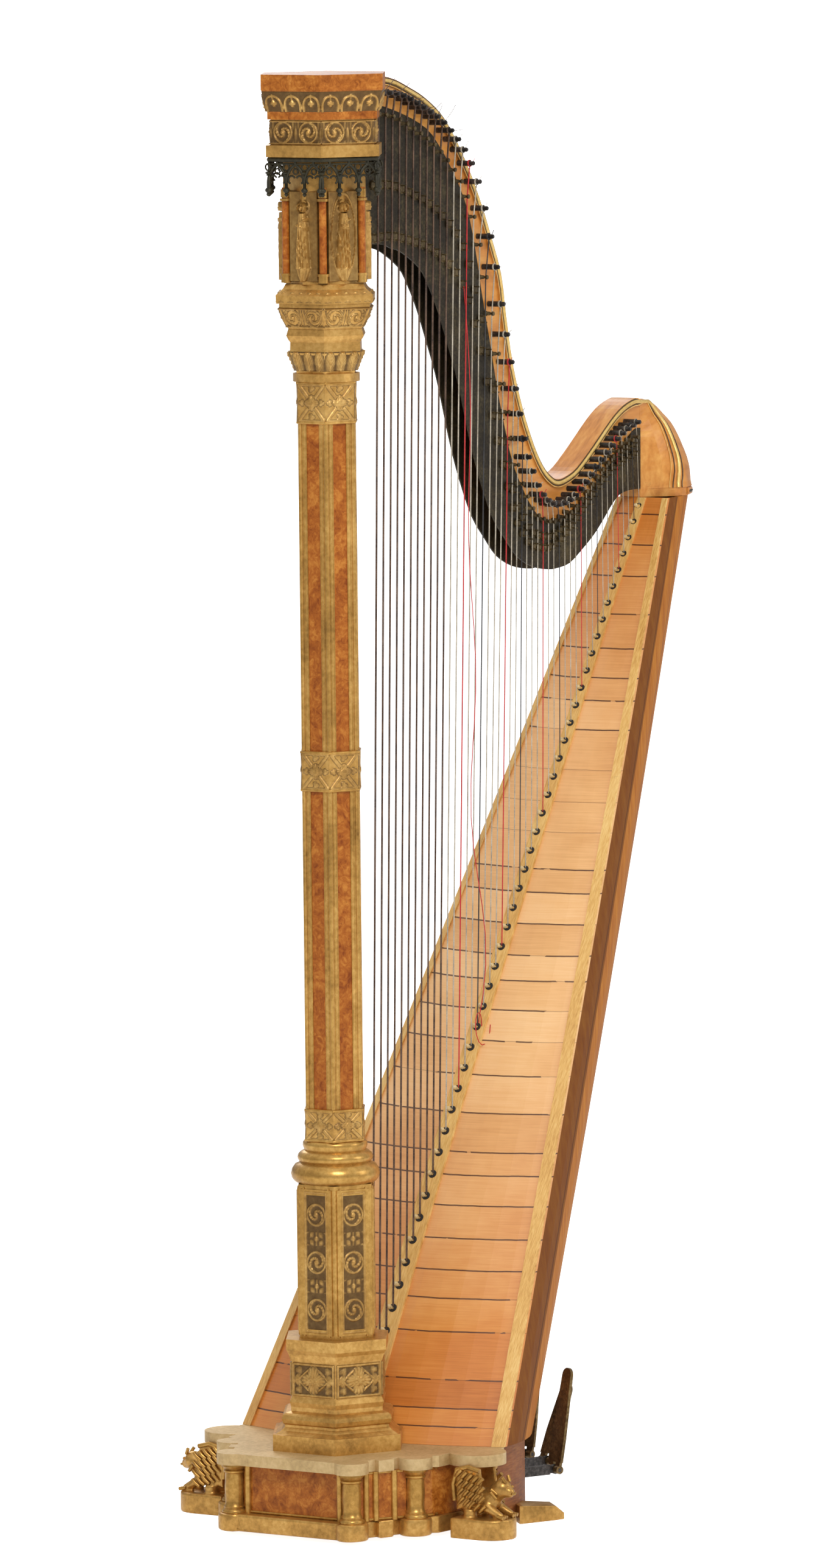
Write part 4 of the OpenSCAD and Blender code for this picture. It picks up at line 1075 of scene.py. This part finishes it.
def running_scroll(x, y, w, h):
    pitch = w / 2
    column = math.floor(x / pitch)
    cx = (column + 0.5) * pitch
    gap = abs(x - cx) - pitch / 2
    leaves = 0.5 * foliage(gap, y, pitch * 0.4, h) if abs(gap) < pitch * 0.14 else 0
    return max(scroll(x - cx, y, min(h, pitch) * 0.44, 1 if column % 2 else -1), leaves,
               0.6 * near(abs(y), h / 2 - 1.2, 1.2))


hex_carving("bell_leaves", CARVED, (41.5, D + 13), (49.5, D + 37), leaf_row(3), 54, 30, 4.0)
hex_carving("bowl_scrolls", CARVED, (52, D + 66), (64, D + 90), running_scroll, 64, 30, 3.6)
hex_carving("lip_scrolls", CARVED, (67, D + 96), (62, D + 109), leaf_row(5), 64, 20, 2.2)
hex_carving("frieze_scrolls", CARVED, (71.9, foot("capital_frieze") + 15), (71.9, top("capital_frieze") - 1),
            running_scroll, 80, 34, 3.4)


# %% Cove under the cap: blind arches with hanging flowers
def arches(x, y, w, h):
    pitch = w / 3
    a = ((x / pitch + 0.5) % 1 - 0.5) * pitch
    b = y + h / 2
    rise = max(0, b - h * 0.35) if b > h * 0.2 else 0
    rim = near(math.hypot(a, rise), pitch * 0.40, 1.5)
    flower = 1.2 * rosette(a, b - h * 0.42, pitch * 0.19)
    stem = 0.7 * near(a, 0, 0.9) * (1 if h * 0.5 < b < h * 0.86 else 0)
    drop = rosette(((x / pitch) % 1 - 0.5) * pitch, b - h * 0.25, pitch * 0.16, 3)
    return max(0.75 * rim, flower, stem, drop)


hex_carving("cove_arches", CARVED, (76.4, HEIGHT - 45), (84.0, HEIGHT - 20), arches, 96, 34, 2.6)


# %% [markdown]
# ## Capital niches
# Five of the drum's six faces hold a robed figure on a bracket. It is made with the same helper as the
# other carving: a head, a falling robe with folds, folded arms and a ring of light behind.

# %% Niche figures
def dome(x, y, cx, cy, rx, ry, height=1.0):
    """A round swelling."""
    d = ((x - cx) / rx) ** 2 + ((y - cy) / ry) ** 2
    return height * math.sqrt(1 - d) if d < 1 else 0.0


def niche(x, y, w, h, ring=True):
    if abs(x) > w / 2 - 1.6:
        return 0.28
    head = dome(x, y, 0, h * 0.315, 4.6, 5.6, 0.86)
    face = dome(x, y, 0, h * 0.306, 3.2, 4.2, 0.98) - 0.12 * near(abs(x), 1.5, 0.8) * near(y, h * 0.315, 0.9)
    hair = 0.92 * near(math.hypot(x, (y - h * 0.315) * 0.85), 4.6, 1.4) if y > h * 0.27 else 0
    down = (h * 0.26 - y) / (h * 0.62)
    robe = 0.0
    if 0 <= down <= 1:
        width = 5.2 + 5.4 * down ** 0.8 - 1.5 * max(0, down - 0.75)
        if abs(x) < width:
            folds = 0.10 * cos(x * 1.9 + 2.2 * sin(down * 5)) * min(1, down * 3)
            robe = 0.82 * math.sqrt(1 - (x / width) ** 2) ** 0.7 + folds
    arms = 0.95 * max(near(y + x * 0.45, h * 0.10, 2.4) if -6 < x < 5 else 0,
                      near(y - x * 0.5, h * 0.16, 2.2) if -2 < x < 7 else 0)
    arms = arms if abs(x) < 7.5 else 0
    halo = 0.42 * near(math.hypot(x, y - h * 0.33), 8.2, 1.0)
    oval = 0.45 * near(math.hypot(x / (w * 0.40), y / (h * 0.47)), 1, 0.075) if ring else 0
    inside = math.hypot(x / (w * 0.4), y / (h * 0.47)) < 0.95
    rays = 0.22 * max(0, cos(11 * math.atan2(y, x))) if ring and inside else 0
    bracket = 0.0
    if y < -h * 0.34:
        t = (-h * 0.34 - y) / (h * 0.16)
        wide = 9.5 * (1 - t) ** 0.6 + 2
        if abs(x) < wide:
            bracket = 0.9 * math.sqrt(max(0, 1 - (x / wide) ** 2)) * (0.85 + 0.15 * cos(7 * x / wide))
    return max(0.25, head, face, hair, robe, arms, halo, oval, rays, bracket)


DRUM_FOOT, GALLERY = foot("capital_drum"), foot("tracery_gallery")
drum_core = primitive("cylinder", vertices=6, radius=0.0496, depth=(top("capital_drum") - DRUM_FOOT) / 1000,
                      location=(AXIS, 0, (top("capital_drum") + DRUM_FOOT) / 2000))
drum_core.data.transform(Matrix.Rotation(radians(30), 4, "Z"))
edit_all(drum_core)
bpy.ops.mesh.inset(thickness=0.002, use_individual=True)
done_editing()
finished(drum_core, "drum_core", GOLD)
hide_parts("capital_drum")
for label, sides, ring in (("plain", (1, 3, 5), False), ("rayed", (2, 4), True)):
    hex_carving("niches_" + label, CARVED, (50.9, DRUM_FOOT + 3), (50.9, GALLERY - 2),
                lambda x, y, w, h, ring=ring: niche(x, y, w, h, ring), 56, 110, 13.0, 5.5, sides=sides)

# Figured posts at the drum's corners, with gilt rings
post_lines, post_rings, z0, z1 = [], [], DRUM_FOOT + 2, GALLERY + 2
for k in range(6):
    if k in (0, 5):
        continue
    a = radians(30 + 60 * k)
    foot_at = at(52.6 * cos(a), 52.6 * sin(a), 0)
    post_lines.append(([foot_at + Vector((0, 0, z / 1000)) for z in (z0, z1)], None))
    for low, high, size in ((z0, z0 + 8, 6.2), (z0 + 8, z0 + 11, 7.2), (z1 - 16, z1 - 13, 7.0),
                            (z1 - 12, z1 - 2, 5.8)):
        post_rings.append(([foot_at + Vector((0, 0, z / 1000)) for z in (low, high)], size))
finished(tubes("drum_posts", post_lines, 4.6, 4), "drum_posts", BURL, angle=40)
finished(tubes("drum_post_rings", post_rings, 6.0, 4), "drum_post_rings", GOLD_BRIGHT, angle=40)

# %% [markdown]
# ## Tracery
# Pointed arches hang round the capital like a lace fringe, with a drop at the foot of every
# shaft and a small cusped ring in every head.

# %% Arches, drops and rings
PITCH, APOTHEM = 25.8, 77.5 * cos(pi / 6) - 3.0
arch_lines, drop_seats = [], []
for k in range(6):
    turn = Matrix.Rotation(radians(60 * k), 4, "Z")

    def on_face(y, z, out=0.0):
        return turn @ Vector(((APOTHEM + out) / 1000, y / 1000, (GALLERY + z) / 1000)) + Vector((AXIS, 0, 0))

    def bow(y, z, radius, first, last_angle, out=0.0):
        turns = [radians(first + (last_angle - first) * t / 9) for t in range(10)]
        return [on_face(y + radius * cos(t), z + radius * sin(t), out) for t in turns]
    arch_lines.append(([on_face(-38.7, 36), on_face(38.7, 36)], 2.8))
    arch_lines.append(([on_face(-38.7, 31), on_face(38.7, 31)], 1.2))
    for bay in (-1, 0, 1):
        if k == 0 and bay == 0:
            continue
        y = bay * PITCH
        for side in (-1, 1):
            foot_y = y + side * PITCH / 2
            legs = bow(y - side * PITCH / 2, 8, PITCH, 0 if side > 0 else 180, 58 if side > 0 else 122)
            arch_lines.append(([on_face(foot_y, 0)] + legs, 1.9))
            first, last = (-60, 150) if side > 0 else (240, 30)
            arch_lines.append((bow(y + side * 5.6, 12, 4.9, first, last, -0.8), 1.3))
        arch_lines.append((bow(y, 22, 3.4, 0, 360, -0.8), 1.1))
        arch_lines.append(([on_face(y, 28), on_face(y, 35)], 1.6))
    for y in (-38.7, -12.9, 12.9, 38.7):
        arch_lines.append((bow(y, 27, 4.2, 0, 360, -0.8), 1.2))
        if abs(y) < 38 or k != 0:
            drop_seats.append(Matrix.Translation(on_face(y, -1)))
            drop_seats.append(Matrix.Translation(on_face(y, 20, 1.0)) @ Matrix.Diagonal((0.8, 0.8, 0.5, 1)))
lace = tubes("tracery_lace", arch_lines, 2.0, 2)
finished(lace, "tracery_lace", BRONZE, angle=50)
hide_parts("tracery_gallery")
drop = spun("drop", [(0, -7.5), (1.4, -6.6), (2.8, -4.4), (1.7, -3), (3.8, -1), (4.1, 1), (2.6, 3), (0, 4)],
            (0, 0, 0), 9)
finished(stamped("tracery_drops", drop, drop_seats), "tracery_drops", BRONZE, angle=60)

# %% [markdown]
# ## Gold bead of the neck and shoulder
# A gold bead between two dark lines runs along both top edges of the neck and comes down round
# the shoulder's back. Both ways are read from the frame's own meshes, and set in by a few millimetres.

# %% Bead
def corners_of(name):
    """Each corner of a frame piece once, in millimetres from the column's axis."""
    seen_at = {tuple(round(c * 1e4) for c in v.co): v.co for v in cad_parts[name].data.vertices}
    return [Vector(((co.x - AXIS) * 1000, co.y * 1000, co.z * 1000)) for co in seen_at.values()]


def neck_top_line():
    """The neck's top edge as (x, z) points: near-face corners with nothing of the neck above them."""
    near_face = [v for v in corners_of("neck") if abs(v.y - NECK_NEAR) < 0.1]
    skin = BVHTree.FromObject(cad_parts["neck"], bpy.context.evaluated_depsgraph_get())
    line = []
    for v in near_face:
        place = at(v.x, v.y + 2, HEIGHT + 50)
        hit = skin.ray_cast(place, Vector((0, 0, -1)))[0]
        if hit and abs(hit.z * 1000 - v.z) < 0.6:
            line.append((v.x, v.z))
    return sorted(line)


def set_in(line, distance):
    moved = []
    for i in range(len(line)):
        (x0, z0), (x1, z1) = line[max(i - 1, 0)], line[min(i + 1, len(line) - 1)]
        size = math.hypot(x1 - x0, z1 - z0)
        moved.append((line[i][0] + (z1 - z0) / size * -distance, line[i][1] + (x1 - x0) / size * distance))
    return moved


def shoulder_rings():
    """The shoulder's levels from the top down: (height above its foot, corners from near to far)."""
    levels = {}
    for v in corners_of("shoulder"):
        levels.setdefault(round(v.z - SHOULDER_FOOT, 1), []).append(v)
    front = min(v.x for ring in levels.values() for v in ring)
    core = (NECK_NEAR + NECK_FAR) / 2
    return [(z, sorted(levels[z], key=lambda v: math.atan2(v.y - core, v.x - front + 0.01)))
            for z in sorted(levels, reverse=True)]


def round_the_back(ring, degrees, out):
    """A point on one level, found by its share of the way from the near corner to the far one."""
    share = (degrees + 90) / 180 * (len(ring) - 1)
    k = min(int(share), len(ring) - 2)
    p = ring[k].lerp(ring[k + 1], share - k)
    way = (ring[k + 1] - ring[k]).cross(Vector((0, 0, 1))).normalized()
    return p + way * out


SHOULDER_FOOT = foot("shoulder") - 0.3
TOP_LINE, RINGS = neck_top_line(), shoulder_rings()
print("neck top line:", len(TOP_LINE), "points; shoulder levels:", [(z, len(r)) for z, r in RINGS])
bead_lines, dark_lines, thin_lines = [], [], []
BESIDE, ON_TOP = 76, max(z for z, ring in RINGS) - 2.5
for side, face in ((-1, NECK_NEAR - 2.4), (1, NECK_FAR + 2.4)):
    for store, offset, size, shift in ((bead_lines, 4.6, 2.6, 0.0), (dark_lines, 1.3, 0.7, 2.3),
                                       (dark_lines, 7.9, 0.7, -2.3), (thin_lines, 9.6, 0.7, -3.6)):
        own_face = face if size > 2 else face + 0.2 * side
        line = [at(x, own_face, z) for x, z in set_in(TOP_LINE, -offset) if BESIDE < x < TOP_LINE[-1][0] - 9]
        down = []
        for z, ring in RINGS:
            if 11 <= z < ON_TOP:
                degrees = side * (62 + 15 * (1 - z / 124) - shift * (1.3 + z / 90))
                down.append(at(*round_the_back(ring, degrees, 0.7)))
        store.append((line + down, size))
finished(tubes("neck_bead", bead_lines, 2.5, 3), "neck_bead", GILT_LINE, angle=50)
finished(tubes("neck_dark_lines", dark_lines, 1.0, 2), "neck_dark_lines", DARK_LINE, angle=50)
finished(tubes("neck_fine_line", thin_lines, 0.7, 2), "neck_fine_line", PALE_WOOD, angle=50)
foot_ring = RINGS[-1][1]
band = [at(*(round_the_back(foot_ring, t, 0.2) + Vector((0, 0, 5.1)))) for t in range(-60, 61, 3)]
finished(tubes("head_band", [(band, None)], 3.0, 3), "head_band", BRONZE, angle=50)

# %% [markdown]
# ## Base fittings
# Turned colonnettes stand at the corners of the base, and beads run along the edges of its boards.

# %% Colonnettes
LOW, HIGH = foot("base_colonnettes"), top("base_colonnettes")
post = spun("post", [(0, LOW), (15, LOW), (15.4, LOW + 2), (14.4, LOW + 4), (12.4, LOW + 5.5),
                     (13, LOW + 7.5), (11.2, LOW + 10), (11, LOW + 16), (11.8, (LOW + HIGH) / 2),
                     (11, HIGH - 17), (10.6, HIGH - 12), (12.6, HIGH - 10.5), (13, HIGH - 8.6),
                     (11.4, HIGH - 7.4), (13.4, HIGH - 5), (15.4, HIGH - 3), (15, HIGH), (0, HIGH)],
            (0, 0, 0), 40)
posts = stamped("turned_posts", post, [Matrix.Translation(at(x, s * y, 0))
                                       for x, y in ((-104, 84), (-33, 130)) for s in (-1, 1)])
finished(posts, "turned_posts", GOLD_BRIGHT, angle=40)
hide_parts("base_colonnettes")

# %% Panel beads and small half-columns on the base walls
wall_lines = []
BASE_LOW, BASE_HIGH = LOW + 1.8, HIGH - 1.8
walls = [((-100.6, -68), (-100.6, 68))]
for s in (-1, 1):
    walls += [((-91, s * 89.6), (-46, s * 120.4)), ((-22, s * 139.5), (-14, s * 143)),
              ((-10, s * 143.2), (-6, s * 144))]
for (xa, ya), (xb, yb) in walls:
    for z in (BASE_LOW, BASE_HIGH):
        wall_lines.append(([at(xa, ya, z), at(xb, yb, z)], 1.6))
for y in (-66, 66):
    wall_lines.append(([at(-101.5, y, LOW), at(-101.5, y, HIGH)], 4.2))
for s in (-1, 1):
    for x, y in ((-86, 93), (-76, 100.5), (-56, 114.5)):
        wall_lines.append(([at(x, s * y, LOW), at(x, s * y, HIGH)], 4.0))
finished(tubes("wall_beads", wall_lines, 1.6, 3), "wall_beads", GOLD_BRIGHT, angle=40)

# %% [markdown]
# ## Beasts
# The winged beasts get feathered wings, eyes, ears and toes over the carved bodies of the frame.

# %% Wings, faces and paws
BEAST_X, BEAST_Y, PLINTH = 18, 164, 25
feather_lines = []
for s in (-1, 1):
    def on_beast(x, y, z):
        return at(BEAST_X + x, s * (BEAST_Y + y), PLINTH + z)
    for side in (-1, 1):
        for row in range(4):
            for k in range(5):
                root = Vector((side * (20.4 - 0.2 * row), 5 + 7.5 * k + row, 50 - 11 * row - 2.2 * k))
                tip = root + Vector((side * 1.5, 9, 8.5))
                middle_at = (root + tip) / 2 + Vector((side * 1.4, 0, 0))
                feather_lines.append(([on_beast(*p) for p in (root, middle_at, tip)], 2.5 - 0.15 * row))
        wing_edge = [on_beast(side * 19.5, y, z) for y, z in ((2, 20), (0, 40), (6, 58), (22, 62), (38, 58))]
        feather_lines.append((wing_edge, 3.0))
        feather_lines.append(([on_beast(side * 4.5, 66, 44), on_beast(side * 7, 62, 51)], 2.2))
        for toe in (-4, 0, 4):
            claw = [on_beast(side * 12 + toe, 60, 4), on_beast(side * 12 + toe * 1.2, 69, 2.4)]
            feather_lines.append((claw, 2.3))
        feather_lines.append(([on_beast(side * 5.2, 68.4, 38.6), on_beast(side * 4.4, 69.6, 38.2)], 1.9))
    for k in range(7):
        a = radians(-70 + 140 * k / 6)
        feather_lines.append(([on_beast(15 * sin(a), 51 - 3 * cos(a), 30 + 8 * cos(a)),
                               on_beast(13.5 * sin(a), 57, 20 + 14 * cos(a))], 2.2))
    feather_lines.append(([on_beast(-4.5, 73.6, 31), on_beast(0, 75.4, 30), on_beast(4.5, 73.6, 31)], 1.4))
finished(tubes("beast_feathers", feather_lines, 2.2, 3), "beast_feathers", GOLD_BRIGHT, angle=60)


# %% Record the sizes and finish
sizes = {"cad": [list(map(float, corner)) for corner in cad_box],
         "visual": [list(map(float, corner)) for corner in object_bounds()]}
print("sizes:", sizes)
